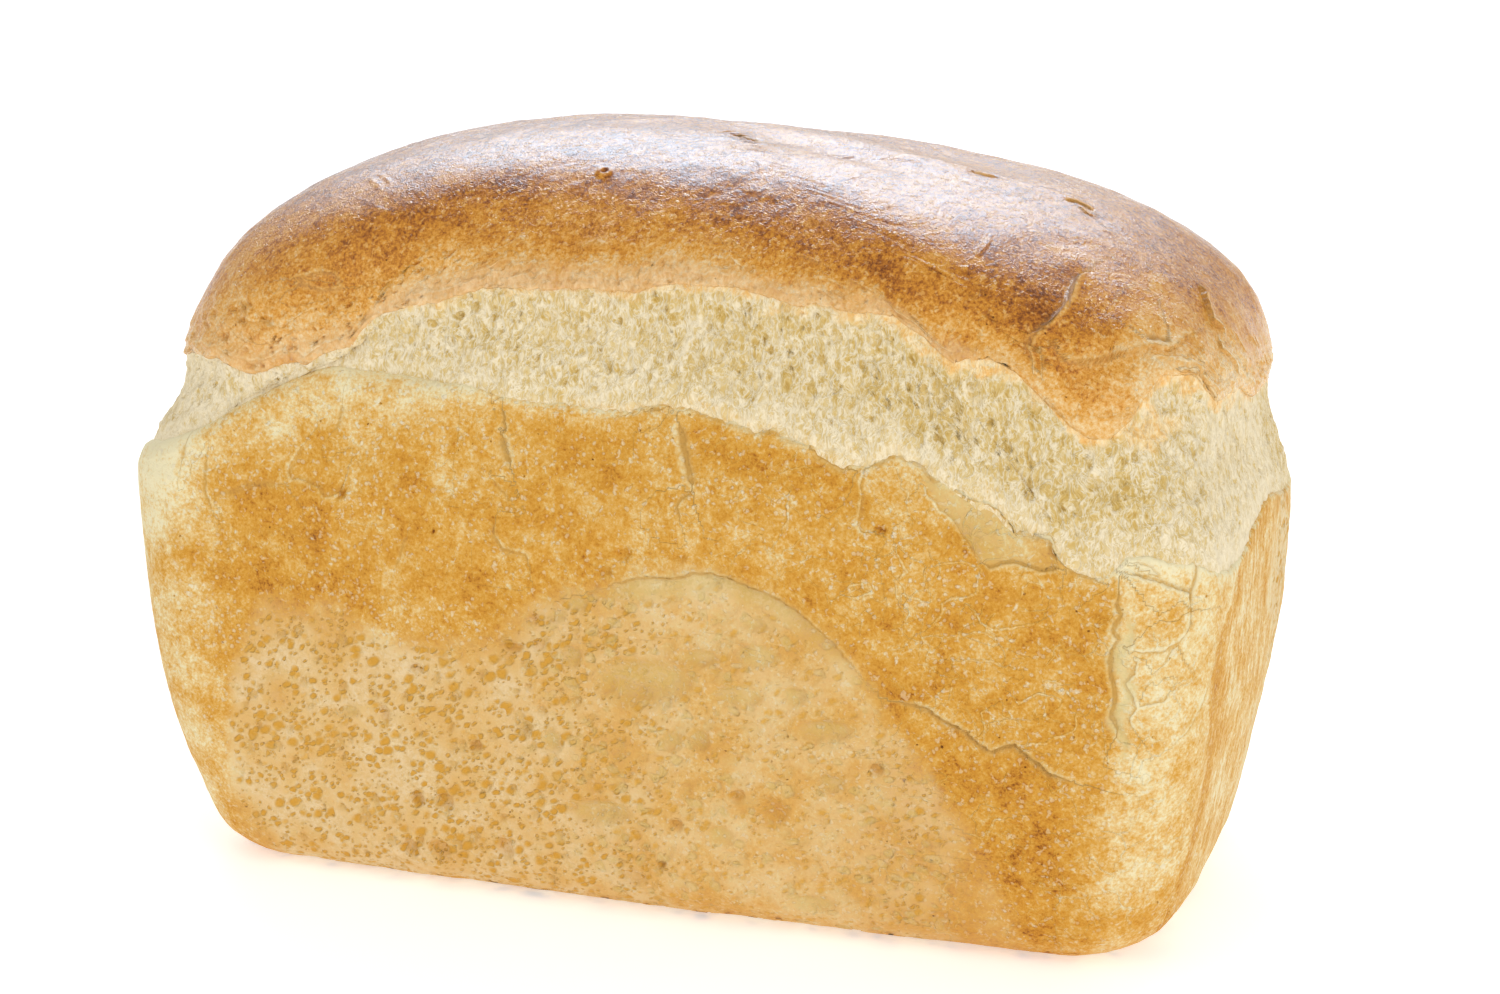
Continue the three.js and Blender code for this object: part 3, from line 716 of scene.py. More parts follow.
# =====================================================================================
# Drawn marks: cracks, slits and flakes' edges
# =====================================================================================
class Marks:
    """Signed distance (mm, in units of the mark's own width) to the nearest drawn line, and how dark and how pale-lipped that line is."""

    def __init__(self, X, Z, P, seed, jitter=0.34):
        self.X = X + jitter * noise(P, 1.7, seed) + 0.4 * jitter * noise(P, 0.7, seed + 1)
        self.Z = Z + jitter * noise(P, 1.7, seed + 2) + 0.4 * jitter * noise(P, 0.7, seed + 3)
        self.crk = np.full(X.shape, 9.0)
        self.crw, self.crp, self.D = np.zeros(X.shape), np.zeros(X.shape), np.zeros(X.shape)

    def trace(self, pts, reach):
        pts = np.asarray(pts, float)
        lo, hi = pts.min(0) - reach, pts.max(0) + reach
        m = (self.X > lo[0]) & (self.X < hi[0]) & (self.Z > lo[1]) & (self.Z < hi[1])
        x, z = self.X[m], self.Z[m]
        best, along, side = np.full(x.shape, 1e9), np.zeros(x.shape), np.ones(x.shape)
        seg = np.hypot(*np.diff(pts, axis=0).T)
        cum = np.concatenate([[0], np.cumsum(seg)])
        for j in range(len(seg)):
            ax, az = pts[j]; dx, dz = pts[j + 1] - pts[j]
            t = clamp(((x - ax) * dx + (z - az) * dz) / (dx * dx + dz * dz))
            vx, vz = x - ax - t * dx, z - az - t * dz
            d = np.hypot(vx, vz)
            k = d < best - 1e-9
            best = np.where(k, d, best)
            along = np.where(k, (cum[j] + t * seg[j]) / cum[-1], along)
            side = np.where(k, np.where(dx * vz - dz * vx >= 0, 1.0, -1.0), side)
        return m, best, along, side

    def add(self, pts, dark=0.0, lip=0.0, width=1.0, groove=0.0, lift=0.0, reach=3.0, drop=0.0, drop_reach=3.0, closed=False, flip=False):
        """dark below 0 is a pale line. lift raises the left of the line's run, drop sinks its right; lip is the pale edge on the raised side."""
        m, d, t, side = self.trace(pts, max(3.0, 3 * reach, 3 * drop_reach if drop else 0))
        if flip:
            side = -side
        ends = np.ones_like(t) if closed else smooth(t, -0.001, 0.14) * smooth(t, 1.001, 0.86)
        over = (0.0 if closed else 1.0) * (1 - ends) * 1.1
        v = side * (d + over) / width
        near = np.abs(v) < np.abs(self.crk[m])
        for a, val in ((self.crk, v), (self.crw, dark), (self.crp, lip)):
            q = a[m]; q[near] = (val if np.ndim(val) == 0 else val[near]); a[m] = q
        self.D[m] += ends * (-0.6 * groove * np.exp(-((d / (0.45 * width)) ** 2)) + lift * (side > 0) * np.exp(-d / reach) - drop * (side < 0) * np.exp(-d / drop_reach))
        return m, d, t, side

    def pit(self, x, z, rx, rz, depth, soft=0.35, angle=0.0):
        """An oval hollow; gives where it is (1 inside)."""
        c, s = math.cos(angle), math.sin(angle)
        dx, dz = self.X - x, self.Z - z
        e = np.hypot((dx * c + dz * s) / rx, (-dx * s + dz * c) / rz)
        q = smooth(e, 1.0 + soft * 0.5, 1.0 - soft)
        self.D -= depth * q
        return q, e


# lines on the shown long side: (place along it, height) in mm
SLITS = [
    (dict(dark=0.9, lip=0.8, groove=0.7, width=1.0), [(-24.8, 102.7), (-24.4, 100.5), (-23.8, 98.6)]),
    (dict(dark=0.9, lip=1.0, groove=1.0, width=2.3, lift=0.25), [(-24.8, 97.8), (-23.9, 95.3), (-22.8, 92.7)]),
    (dict(dark=0.9, lip=1.0, groove=1.0, width=2.1, lift=0.25, flip=True), [(11.8, 103.2), (12.5, 99.2), (13.2, 96.4), (14.6, 91.3)]),
    (dict(dark=0.5, lip=0.7, groove=0.4, width=1.2, lift=0.2), [(14.6, 90.3), (12.5, 88.9), (11.7, 87.1), (12.5, 84.6)]),
    (dict(dark=0.35, lip=0.6, groove=0.3, width=1.0), [(-25.9, 89.7), (-22.6, 86.2)]),
    (dict(dark=0.45, lip=0.8, groove=0.3, width=1.2, lift=0.25, reach=1.5), [(-24.9, 81.8), (-25.5, 79), (-23.5, 76.3), (-18.7, 75.7), (-18.2, 73.4)]),
    (dict(dark=0.45, lip=0.5, groove=0.35, width=1.6), [(-93, 91.7), (-93.3, 87.8)]),
    (dict(dark=0.5, lip=0.4, groove=0.35, width=1.2), [(-87.9, 88.8), (-88, 81.7), (-86.8, 79.1)]),
    (dict(dark=0.35, groove=0.35, width=1.6), [(-86.1, 81.4), (-81.1, 82.8), (-79.3, 84), (-75.8, 84.7), (-70.5, 85.2)]),
    (dict(dark=0.25, lip=0.9, groove=0.2, width=1.2, drop=0.3, drop_reach=1.6, flip=True), [(-65.9, 94.4), (-67.4, 92.3), (-68.4, 90.3), (-69.7, 88.3), (-68.8, 86.4), (-65.6, 86.3), (-62.4, 85.3), (-60.8, 83.4), (-58.4, 84.4), (-56.5, 87.7), (-56.3, 88.8)]),
    (dict(dark=0.5, groove=0.3, width=1.3), [(-59, 101.8), (-59.3, 97.6), (-60.3, 96.2)]),
    (dict(dark=0.4, groove=0.2, width=0.9), [(-43, 77.9), (-44.6, 73.4), (-45.9, 70.3)]),
    (dict(dark=0.3, lip=0.9, groove=0.2, width=1.1, lift=0.2), [(10.7, 104.8), (14.6, 105.2), (16.6, 104.3), (20, 103.8), (23.4, 102.9), (26.7, 102), (28.6, 102), (30.5, 102.5), (31.8, 101.2), (34.7, 100.7), (38.1, 99.9)]),
    (dict(dark=1.0, groove=1.0, width=2.4), [(38.1, 99.9), (41.2, 98.3), (44.9, 96.9)]),
    (dict(dark=0.8, groove=0.6, width=1.3), [(4.9, 104.3), (6.5, 104.7), (8.3, 105)]),
    # the plate under the torn band, right: dark crack, then a pale edge that overhangs a leaner membrane
    (dict(dark=0.55, lip=0.8, groove=0.4, width=1.5, lift=0.2), [(48.5, 97.1), (51.4, 98.4), (52.2, 99.5), (54.5, 99.7), (56.6, 99.0), (59.2, 98.0), (59.8, 97), (61.2, 95.8), (63.4, 95.2)]),
    (dict(dark=0.35, lip=1.2, groove=0.2, width=1.3, lift=0.35, drop=0.55, drop_reach=4.5), [(62.7, 95.4), (64.7, 94.9), (66.5, 93.2), (69.3, 92), (71.2, 92.2), (72.8, 91.3), (74.2, 89.6), (75.4, 88), (77.8, 87.5), (80, 86.8), (81.8, 86.6), (82.3, 85.4), (83.7, 83), (84.9, 81.9)]),
    (dict(dark=0.5, lip=0.7, groove=0.4, width=1.1), [(84.9, 81.9), (88.2, 80.8), (91.5, 79.8)]),
    (dict(dark=0.3, lip=1.1, groove=0.2, width=1.1, lift=0.3, flip=True), [(48.5, 97.1), (47.6, 94.8), (47.6, 91.9), (47.2, 89.6), (46.6, 87.3), (47.1, 86), (49.3, 85.7)]),
    (dict(dark=0.15, lip=0.9, width=1.0, lift=0.25, flip=True), [(59, 95.5), (60, 93.2), (62.4, 90.7), (64.6, 88.8), (66.1, 86.3), (67.4, 84.2), (68.9, 81.7)]),
    (dict(dark=0.7, lip=0.9, groove=0.4, width=1.2, lift=0.3, flip=True), [(68.9, 81.7), (70.7, 81.1), (72.8, 81.9), (75, 82.3), (77.2, 81.9), (79.9, 81.3), (84.9, 81.6)]),
    # long crack low on the right, its upper side overhanging
    (dict(dark=0.9, lip=0.9, groove=0.5, width=1.5, lift=0.55, reach=3.5, drop=0.5, drop_reach=3.0), [(51.4, 54.3), (54.8, 53.8), (57.9, 53.7), (60.2, 52.8), (62.7, 51), (64.7, 50.3), (67.1, 49.3), (68.2, 48.2), (70.6, 46.8), (72.5, 45.8), (73.7, 46.6), (76.6, 47.7), (77.8, 46.6), (79.6, 45.3), (81.5, 44), (83.5, 42.4), (85.8, 41.9), (88.5, 41.2), (90.2, 40.9)]),
    # upright corner: cracked plates
    (dict(dark=0.8, lip=0.9, groove=0.5, width=1.3, lift=0.3, flip=True), [(94.7, 80.7), (94.6, 78.1), (94.3, 76), (94.9, 73.9), (93.6, 71.3), (94.8, 69.4), (93.5, 67.3), (93.3, 64.9), (93.6, 62.4), (94.4, 58.7), (93.8, 54.9), (95.2, 52.4), (94.3, 49.5)]),
    (dict(dark=0.4, lip=1.0, groove=0.2, width=1.1, lift=0.3, flip=True, drop=0.3, drop_reach=2.0), [(93.8, 82.3), (98.1, 81.3), (102.4, 79.8), (107.5, 77.5), (108.1, 71.5), (105.7, 68.6), (102.2, 67.1), (96.4, 67.2), (95.3, 67.9)]),
    (dict(dark=0.7, lip=0.7, groove=0.5, width=1.2), [(110.1, 89.8), (108.8, 84.3), (108.6, 79), (107.8, 77), (107.9, 71.5)]),
    (dict(dark=0.3, lip=0.9, width=1.0, lift=0.2, flip=True), [(97, 83.8), (99.3, 83.3), (101.1, 81.8), (101.6, 80.3)]),
    (dict(dark=0.3, lip=1.0, width=1.0, lift=0.25), [(96.4, 66.7), (97.9, 65.4), (97.3, 63), (95.8, 61.4), (98.1, 56.9), (96.8, 54.4), (98.7, 51.5)]),
    (dict(dark=0.3, lip=0.8, width=1.0), [(105.6, 68.3), (104, 67.3), (103.2, 65.2), (102, 64.1)]),
    (dict(dark=0.3, lip=0.9, width=1.0, lift=0.2, flip=True), [(98.4, 56.9), (100.5, 57.6), (103.1, 57.8), (104.1, 59.3)]),
    (dict(dark=0.25, lip=0.8, width=1.0), [(106.3, 49.2), (109.5, 51.3), (112.8, 55.5), (114.4, 58.7)]),
]
PALE_LINES = [
    [(33.6, 91.3), (33.2, 89.3), (33.1, 86.3), (31.7, 83.9)], [(25.4, 81.2), (23.5, 79.1)],
    [(68.9, 80.9), (68.8, 77.9), (68.5, 75.7), (66.1, 74.8), (63.8, 74.6), (62.1, 73.5), (62, 71.3), (60.7, 69.7), (58.5, 67.9)],
    [(60.1, 80.3), (62, 81), (66, 81.5), (68.9, 80.9)], [(53.4, 83.7), (54.2, 80.9), (55.7, 78.8), (53.4, 77.2), (53.7, 74.5), (54.3, 72.5)],
    [(54.3, 74.5), (56.6, 74.2), (59.1, 73.8)], [(43.5, 74.2), (45.6, 75.7), (48.6, 76.3), (49.2, 74.5), (46.3, 73.1), (43.5, 73.6)],
    [(66.1, 74.3), (68.4, 72.2), (69.6, 70.3), (71.8, 69.4), (75.4, 69.9), (78, 70.7), (80.5, 71.6), (81.6, 72.4)],
    [(66, 63.2), (69.3, 63.4), (72, 63.2), (74.1, 62.8)], [(76.2, 48.7), (77.4, 47.9), (82, 48.4), (84.1, 49.8), (87.1, 51.3), (87.7, 52.2), (87.6, 54.7), (89.6, 54.8), (90.7, 56.3)],
    [(71.9, 54.7), (70.2, 53.3), (71.1, 50.1), (69, 47.4)], [(75.7, 57.3), (77.2, 55.9), (80.6, 58.2), (83.1, 57.7)], [(68.5, 28.8), (72.7, 27.6), (74.1, 32), (76.9, 32.8)],
]
ARC = [(-5.8, 69.7), (-2.5, 70.9), (0.5, 71.9), (3.7, 73.1), (7.3, 73.4), (11.1, 73.8), (14.8, 75), (18.7, 75.2), (22.5, 74.5), (25.3, 73.4), (29.1, 72.3), (32.3, 70.9),
       (36, 68.7), (39.1, 66.4), (41.5, 64.4), (44.5, 61.3), (47, 58.3), (49.5, 55.8)]
# hollows: place, height, half width, half height, depth, how lean (olive) or brown their floor is
PITS = [
    (3.5, 52.6, 10, 4.8, 1.1, "lean"), (15.7, 58.5, 4.1, 1.7, 0.5, "lean"), (26.6, 60, 4.4, 2.3, 0.4, "lean"), (15, 42, 2.1, 2.1, 0.5, "lean"), (9.3, 40.9, 2.2, 2.1, 0.5, "lean"),
    (40.2, 46.6, 5.6, 2.2, 0.7, "lean"), (34.1, 52.8, 2.5, 1.7, 0.4, "lean"), (22.6, 51.8, 5.4, 2.2, 0.4, "lean"), (29.6, 28.2, 3.5, 3.4, 0.6, "gold"), (41.4, 35.7, 2.9, 1.7, 0.6, "lean"),
    (22.6, 30.9, 1.6, 1.4, 0.7, "gold"), (50.6, 39.8, 1.4, 1.2, 0.7, "gold"), (-7.2, 23.9, 6.6, 2.7, 0.7, "lean"), (9.4, 23.2, 1.5, 1.1, 0.7, "gold"), (5.7, 13.8, 0.8, 1.1, 0.6, "gold"),
    (18.6, 21.8, 3, 2.2, 0.4, "lean"), (0.8, 77.8, 1.6, 1.4, 0.45, "gold"), (12.3, 77.9, 1.3, 0.8, 0.35, "gold"), (-2.7, 74, 1.3, 0.8, 0.35, "gold"), (-10, 56.6, 2, 2, 0.55, "lean"),
    (-16.6, 58.3, 1.4, 1.2, 0.5, "gold"), (-12.7, 64.5, 1.8, 1.3, 0.4, "lean"), (-17.9, 63.3, 1.2, 1.1, 0.4, "gold"), (-21.9, 57.2, 2, 0.7, 0.6, "gold"), (-8.5, 67.1, 2, 1.3, 0.35, "lean"),
    (-49.5, 21.4, 1.5, 1.6, 0.8, "gold"), (-42.8, 21.6, 2, 1.8, 0.8, "gold"), (-54.7, 9.6, 1.6, 2, 0.8, "gold"), (-47.2, 10.3, 2.5, 2.2, 0.8, "gold"), (-32.9, 35.3, 1.4, 1.1, 0.8, "gold"),
    (-15.9, 38.3, 2.1, 2.6, 0.7, "lean"), (-21.1, 40.3, 1.5, 1.7, 0.7, "lean"), (-30.9, 12.7, 1.8, 2.3, 0.8, "gold"), (26.1, 66.1, 2.1, 1.3, 0.35, "lean"), (38.1, 8.3, 5.5, 2, 0.6, "lean"),
    (-2.2, 9.7, 3.4, 1.9, 0.6, "gold"), (-57.3, 84.5, 1, 0.8, 0.7, "brown"), (50.8, 86.2, 1.3, 0.7, 0.4, "brown"), (-37.3, 78.8, 0.4, 0.4, 0.4, "hole"), (-60.5, 39.3, 1.9, 1.3, 0.5, "lean"),
    (-52.9, 39.7, 1.1, 2, 0.6, "gold"), (-43.6, 50.5, 1.7, 0.8, 0.6, "gold"),
]


# =====================================================================================
# Side crust
# =====================================================================================
def spaced(pairs, n):
    """n+1 places from the first to the last, with steps in proportion to the given sizes at given places."""
    p, h = np.array([a for a, _ in pairs], float), np.array([b for _, b in pairs], float)
    f = np.linspace(p[0], p[-1], 4001)
    dens = 1.0 / np.interp(f, p, h)
    c = np.concatenate([[0], np.cumsum((dens[1:] + dens[:-1]) / 2)])
    return np.interp(np.linspace(0, c[-1], n + 1), c, f)


def side_grid(s, rows_wall):
    """Macro shape of the side crust: base margin, bottom edge, wall and rolled rim."""
    S = s[None, :]
    rim = rim_line(s)[None, :]
    lift = np.maximum(0, 0.9 * noise(flat(s, s * 0 + 3), 17, 21) + 0.5 * noise(flat(s, s * 0 + 3), 6, 22))[None, :]   # the bottom edge isn't quite straight
    x = front_x(s)[None, :]
    roll = smooth(x, -28, -44) * smooth(x, -135, -115)             # at the left the rim is a soft ridge instead of a torn edge
    out = []
    for inset in (9.0, 5.0, 2.0):
        a, b = wall(0.0)
        xx, yy = rounded_rectangle(S, a - BOTTOM_RADIUS - inset, b - BOTTOM_RADIUS - inset, np.maximum(CORNER_RADIUS - (BOTTOM_RADIUS + inset) * 0.6, 3), SIDE_BOW)
        out.append(np.stack([xx, yy, np.zeros_like(xx)], -1))
    nb = max(6, int(14 * FINE))
    for i in range(nb):
        q = i / nb * math.pi / 2
        z = BOTTOM_RADIUS * (1 - math.cos(q)) + lift * (i / nb)
        out.append(on_wall(S, z, BOTTOM_RADIUS * (1 - math.sin(q))))
    top = rim - 1.1 - 2.2 * roll
    v = rows_wall[:, None]
    z = mix(BOTTOM_RADIUS + lift, rim_height(s)[None, :] - 9.0, clamp(v / 0.88)) * (v < 0.88) + mix(rim_height(s)[None, :] - 9.0, top, clamp((v - 0.88) / 0.12)) * (v >= 0.88)
    out.append(on_wall(S, z, 0.0))
    for dz, inset, dz2, in2 in ((-0.55, 0.10, -2.0, 0.30), (-0.15, 0.38, -0.9, 0.85), (0.0, 0.85, -0.2, 1.7), (-0.2, 1.4, 0.0, 2.6), (-0.8, 2.0, -0.4, 3.5), (-2.0, 2.6, -1.5, 4.4), (-4.0, 3.2, -3.5, 5.2)):
        out.append(on_wall(S, rim + mix(dz, dz2, roll), mix(inset, in2, roll) + 0 * S))
    return np.concatenate(out, 0) + SHIFT


def wall_looks(P, s, rim):
    """Relief and painting of the side crust anywhere round the loaf."""
    X = np.broadcast_to(front_x(s)[None, :], P.shape[:2])
    Z = P[..., 2]
    below = rim[None, :] - Z                        # mm under the rim
    wob = fbm(P, 14, 3, 40)
    D = 0.35 * fbm(P, 22, 3, 41) + 0.17 * fbm(P, 6, 3, 42) + 0.06 * noise(P, 1.7, 43)
    tone = 0.570 + 0.06 * wob + 0.03 * fbm(P, 30, 2, 44) + 0.10 * smooth(X, 38, 55) * smooth(X, 98, 88) * smooth(Z, 52, 40)
    tone = tone - 0.03 * smooth(Z, 62, 84) * smooth(np.abs(X), 62, 36) + 0.035 * smooth(X, -96, -84) * smooth(X, -52, -64) * smooth(Z, 45, 58)
    # paler under the rim: a long fade at the left, a short one in the middle
    fade = np.interp(X, [-170, -110, -90, -70, -50, -35, -20, 0, 25, 40, 50, 60, 75, 88, 95, 150], [14, 26, 24, 21, 17, 11, 6, 4, 2.5, 3, 7, 9, 8, 5, 4, 6])
    amount = np.interp(X, [-170, -110, -60, -35, 0, 40, 55, 85, 95, 160], [0.24, 0.34, 0.34, 0.28, 0.20, 0.14, 0.22, 0.20, 0.20, 0.16])
    tone = tone - amount * smooth(below + 1.6 * wob, fade, -0.5)
    tone = tone - 0.16 * smooth(below + 0.5 * noise(P, 1.5, 45), 1.3, 0.1)
    zero = np.zeros_like(tone)
    ends = smooth(np.abs(X), 118, 128) * smooth(np.abs(X), 205, 195)        # the two short ends
    tone = mix(tone, 0.355 - 0.045 * smooth(Z, 60, 25) + 0.05 * wob, ends * smooth(below, 0, 6))
    # upright corners are pale: the tin browned them least
    corner = zero.copy()
    right_end = np.interp(Z, [0, 13, 24, 33, 40, 50, 56, 63, 67, 71, 75, 77, 80, 81], [111, 113, 116, 119, 120, 117, 115.5, 116, 119.5, 124, 128, 132, 139, 146])
    cr = smooth(X + 0.8 * noise(P, 2.5, 46) + 3.0 * wob * smooth(Z, 55, 40), mix(88.0, 93.6, smooth(Z, 38, 52)), mix(98.0, 95.0, smooth(Z, 38, 52))) * smooth(X + 0.8 * noise(P, 3, 47), right_end + 1.0, right_end - 1.5)
    corner = np.maximum(corner, cr * mix(0.72, 1.0, smooth(Z, 10, 45)))
    cl = smooth(X + 3.5 * wob, np.interp(Z, [0, 20, 45, 70, 95], [-92, -88, -84, -80, -86]), -99) * smooth(X, -133, -120)
    corner = np.maximum(corner, 0.85 * cl * smooth(Z, -4, 25))
    for c0 in (STARTS[1], STARTS[3]):
        mid = c0 + SHARE_C / 2
        d = np.abs(np.mod(s - mid + TOTAL / 2, TOTAL) - TOTAL / 2)[None, :] + 2.2 * wob + 0 * Z
        corner = np.maximum(corner, smooth(d, 15.5, 8.5) * smooth(Z, -2, 12) ** 0.5)
    tone = tone - 0.30 * corner
    tone = tone + 0.10 * corner * smooth(Z, 22, 2)
    dark = 0.95 * smooth(noise(flat(X, Z * 1.6), 3.2, 48) + 0.12 * smooth(X, -50, -35) * smooth(X, 35, 20), 0.26, 0.42) * smooth(Z, 4.0, 2.2) * smooth(Z, 0.1, 0.6)
    return dict(D=D, tone=tone, pale=zero.copy(), dark=dark, corner=corner, X=X, Z=Z, below=below, wob=wob, ends=ends, skin=zero.copy(), web=zero + 0.35, olive=zero.copy(),
                crk=zero + 9, crw=zero.copy(), crp=zero.copy(), grain=ends, dimp=zero.copy())


def front_features(L, P):
    """What the shown long side has: porous skin, a shallow blister, pits, slits and cracked plates."""
    X, Z, wob, below = L["X"], L["Z"], L["wob"], L["below"]
    D, tone, dark, olive = L["D"], L["tone"], L["dark"], L["olive"]
    M = Marks(X, Z, P, 60)
    for how, pts in SLITS:
        M.add(pts, **how)
    for pts in PALE_LINES:
        M.add(pts, dark=-1.0, width=0.9, lift=0.08, reach=1.5)
    # the blister's torn edge: the skin over it stands proud, what lies inside is sunk and lean
    m, d, t, side = M.add(ARC, dark=0.75, lip=0.5, width=1.3, lift=0.35, reach=2.5, drop=0.0)
    force = smooth(t, 0.0, 0.10) * np.interp(t, [0, 0.15, 0.45, 0.62, 0.8, 1.0], [0.6, 0.9, 1.0, 0.85, 0.45, 0.15])
    inner = (side < 0)
    M.D[m] -= inner * force * (1.15 * np.exp(-d / 7.0)) * smooth(d, -0.1, 0.5)
    o = olive[m]
    o = np.maximum(o, inner * force * 0.85 * smooth(d + 1.5 * wob[m], 5.5, 1.0))
    olive[m] = o
    dk = M.crw[m]
    M.crw[m] = np.where(np.abs(M.crk[m]) < 1.5, dk * np.where(d < 2.0, np.maximum(force, 0.25), 1.0), dk)
    # open-pored skin over the lower left
    top_line = np.interp(X, [-100, -90, -84, -75, -62, -47, -32, -21, -12, -5, 7, 19, 32, 42, 50, 58, 66, 75, 88], [8, 33, 47, 61, 60, 56.5, 55.5, 60, 68, 70, 73, 75, 71, 64, 55, 44, 33, 20, 2])
    skin = smooth(top_line - Z + 3.2 * wob + 1.6 * noise(P, 4, 62), -4.5, 5.0) * smooth(X + 2 * wob, -100, -88)
    strength = np.interp(X, [-95, -30, -10, 10, 45, 60, 75, 90], [1.0, 1.0, 0.80, 0.52, 0.48, 0.62, 0.30, 0.0])
    L["skin"] = skin * strength
    L["dimp"] = skin * mix(0.25, 1.0, smooth(X, -28, -2)) * smooth(X, 78, 60)
    tone = tone - 0.02 * skin
    tone = tone - 0.05 * skin * smooth(X, -5, 15) * smooth(X, 62, 45)
    wx, wz = X + 1.1 * noise(P, 5, 63), Z + 1.1 * noise(P, 5, 64)
    q1, _ = pores(wx, wz, 5.2, 71, 0.6, 1.5, 0.55, 1.5, angle=0.6, spread=0.5)
    big = smooth(q1, -0.05, 0.30) * skin * mix(0.5, 1.0, smooth(X, 20, -20))
    D = D - 0.55 * big
    tone = tone - 0.02 * big
    olive = np.maximum(olive, 0.30 * big)
    L["skin"] = L["skin"] * (1 - 0.6 * big)
    # shallow leaner dimples in the blister and the lower middle
    q3, _ = pores(wx + 50, wz, 8.0, 73, 1.4, 3.0, 0.7, 1.4, angle=0.1, spread=0.6)
    dim = smooth(q3, -0.05, 0.45) * skin * smooth(X, -25, 0) * smooth(X, 66, 50)
    D = D - 0.35 * dim
    olive = np.maximum(olive, 0.22 * dim)
    for x, z, rx, rz, depth, kind in PITS:
        q, e = M.pit(x, z, rx, rz, 1.5 * depth, 0.45, angle=0.10 if rx > 3 else 0.0)
        lip = smooth(e, 1.0, 1.15) * smooth(e, 1.5, 1.2)
        M.D += 0.14 * lip
        if kind == "lean":
            olive = np.maximum(olive, 0.70 * q * mix(0.65, 1.0, smooth(M.Z, z - rz, z + 0.5 * rz)))
            L["skin"] = L["skin"] * (1 - 0.8 * q)
            L["dimp"] = L["dimp"] * (1 - 0.8 * q)
            dark = np.maximum(dark, 0.34 * q * smooth(M.Z - 0.15 * (M.X - x), z + 0.1 * rz, z + 0.9 * rz))      # shade under the upper edge
        elif kind == "gold":
            tone = tone + 0.15 * q
        elif kind == "brown":
            tone = tone + 0.30 * q
        else:
            # painted shade: an open hole is painted near black
            dark = np.maximum(dark, q)
    # membrane bared under the plate, and where the corner's plates parted
    mem = smooth(M.Z, np.interp(M.X, [59, 62, 66, 69, 75, 85], [96, 91, 86.5, 81.8, 82, 81.5]) - 0.3, np.interp(M.X, [59, 62, 66, 69, 75, 85], [96, 91, 86.5, 81.8, 82, 81.5]) + 0.4)
    mem = mem * smooth(M.Z, np.interp(M.X, [59, 63, 67, 71, 74, 78, 82, 85], [97, 95.2, 93, 92, 89.6, 87.4, 86, 81.5]) + 0.3, np.interp(M.X, [59, 63, 67, 71, 74, 78, 82, 85], [97, 95.2, 93, 92, 89.6, 87.4, 86, 81.5]) - 0.5)
    mem = mem * (M.X > 59) * (M.X < 85)
    olive = np.maximum(olive, mem * mix(0.55, 0.25, smooth(X, 70, 80)))
    tone = tone + 0.10 * mem * smooth(X, 76, 83)
    tone = tone - 0.12 * smooth(M.X, 47.5, 49.5) * smooth(M.X, 74, 62) * smooth(M.Z, 84 + 0 * X, 90) * (1 - mem)
    rec = smooth(np.abs(M.X - (95.6 + 1.2 * np.sin(M.Z * 0.55))) + 0.7 * noise(P, 2.0, 65), np.interp(Z, [44, 50, 54, 60, 65, 68, 72, 75], [0.3, 1.5, 2.8, 1.4, 2.8, 2.2, 0.9, 0.2]), 0.2)
    rec = rec * smooth(Z, 45, 50) * smooth(Z, 76, 70)
    M.D -= 0.55 * rec
    olive = np.maximum(olive, 0.95 * rec)
    # the part right of the crack stays leaner and paler
    L["web"] = np.clip(0.25 + 0.75 * smooth(X, 5, 45) * smooth(X, 108, 96) + 0.5 * smooth(X, 70, 80), 0, 1) * (1 - skin * smooth(X, 60, 40)) * smooth(below, 0, 3)
    L.update(D=D + M.D, tone=tone, dark=dark, olive=olive, crk=np.clip(M.crk, -9, 9), crw=M.crw, crp=M.crp)
    return L


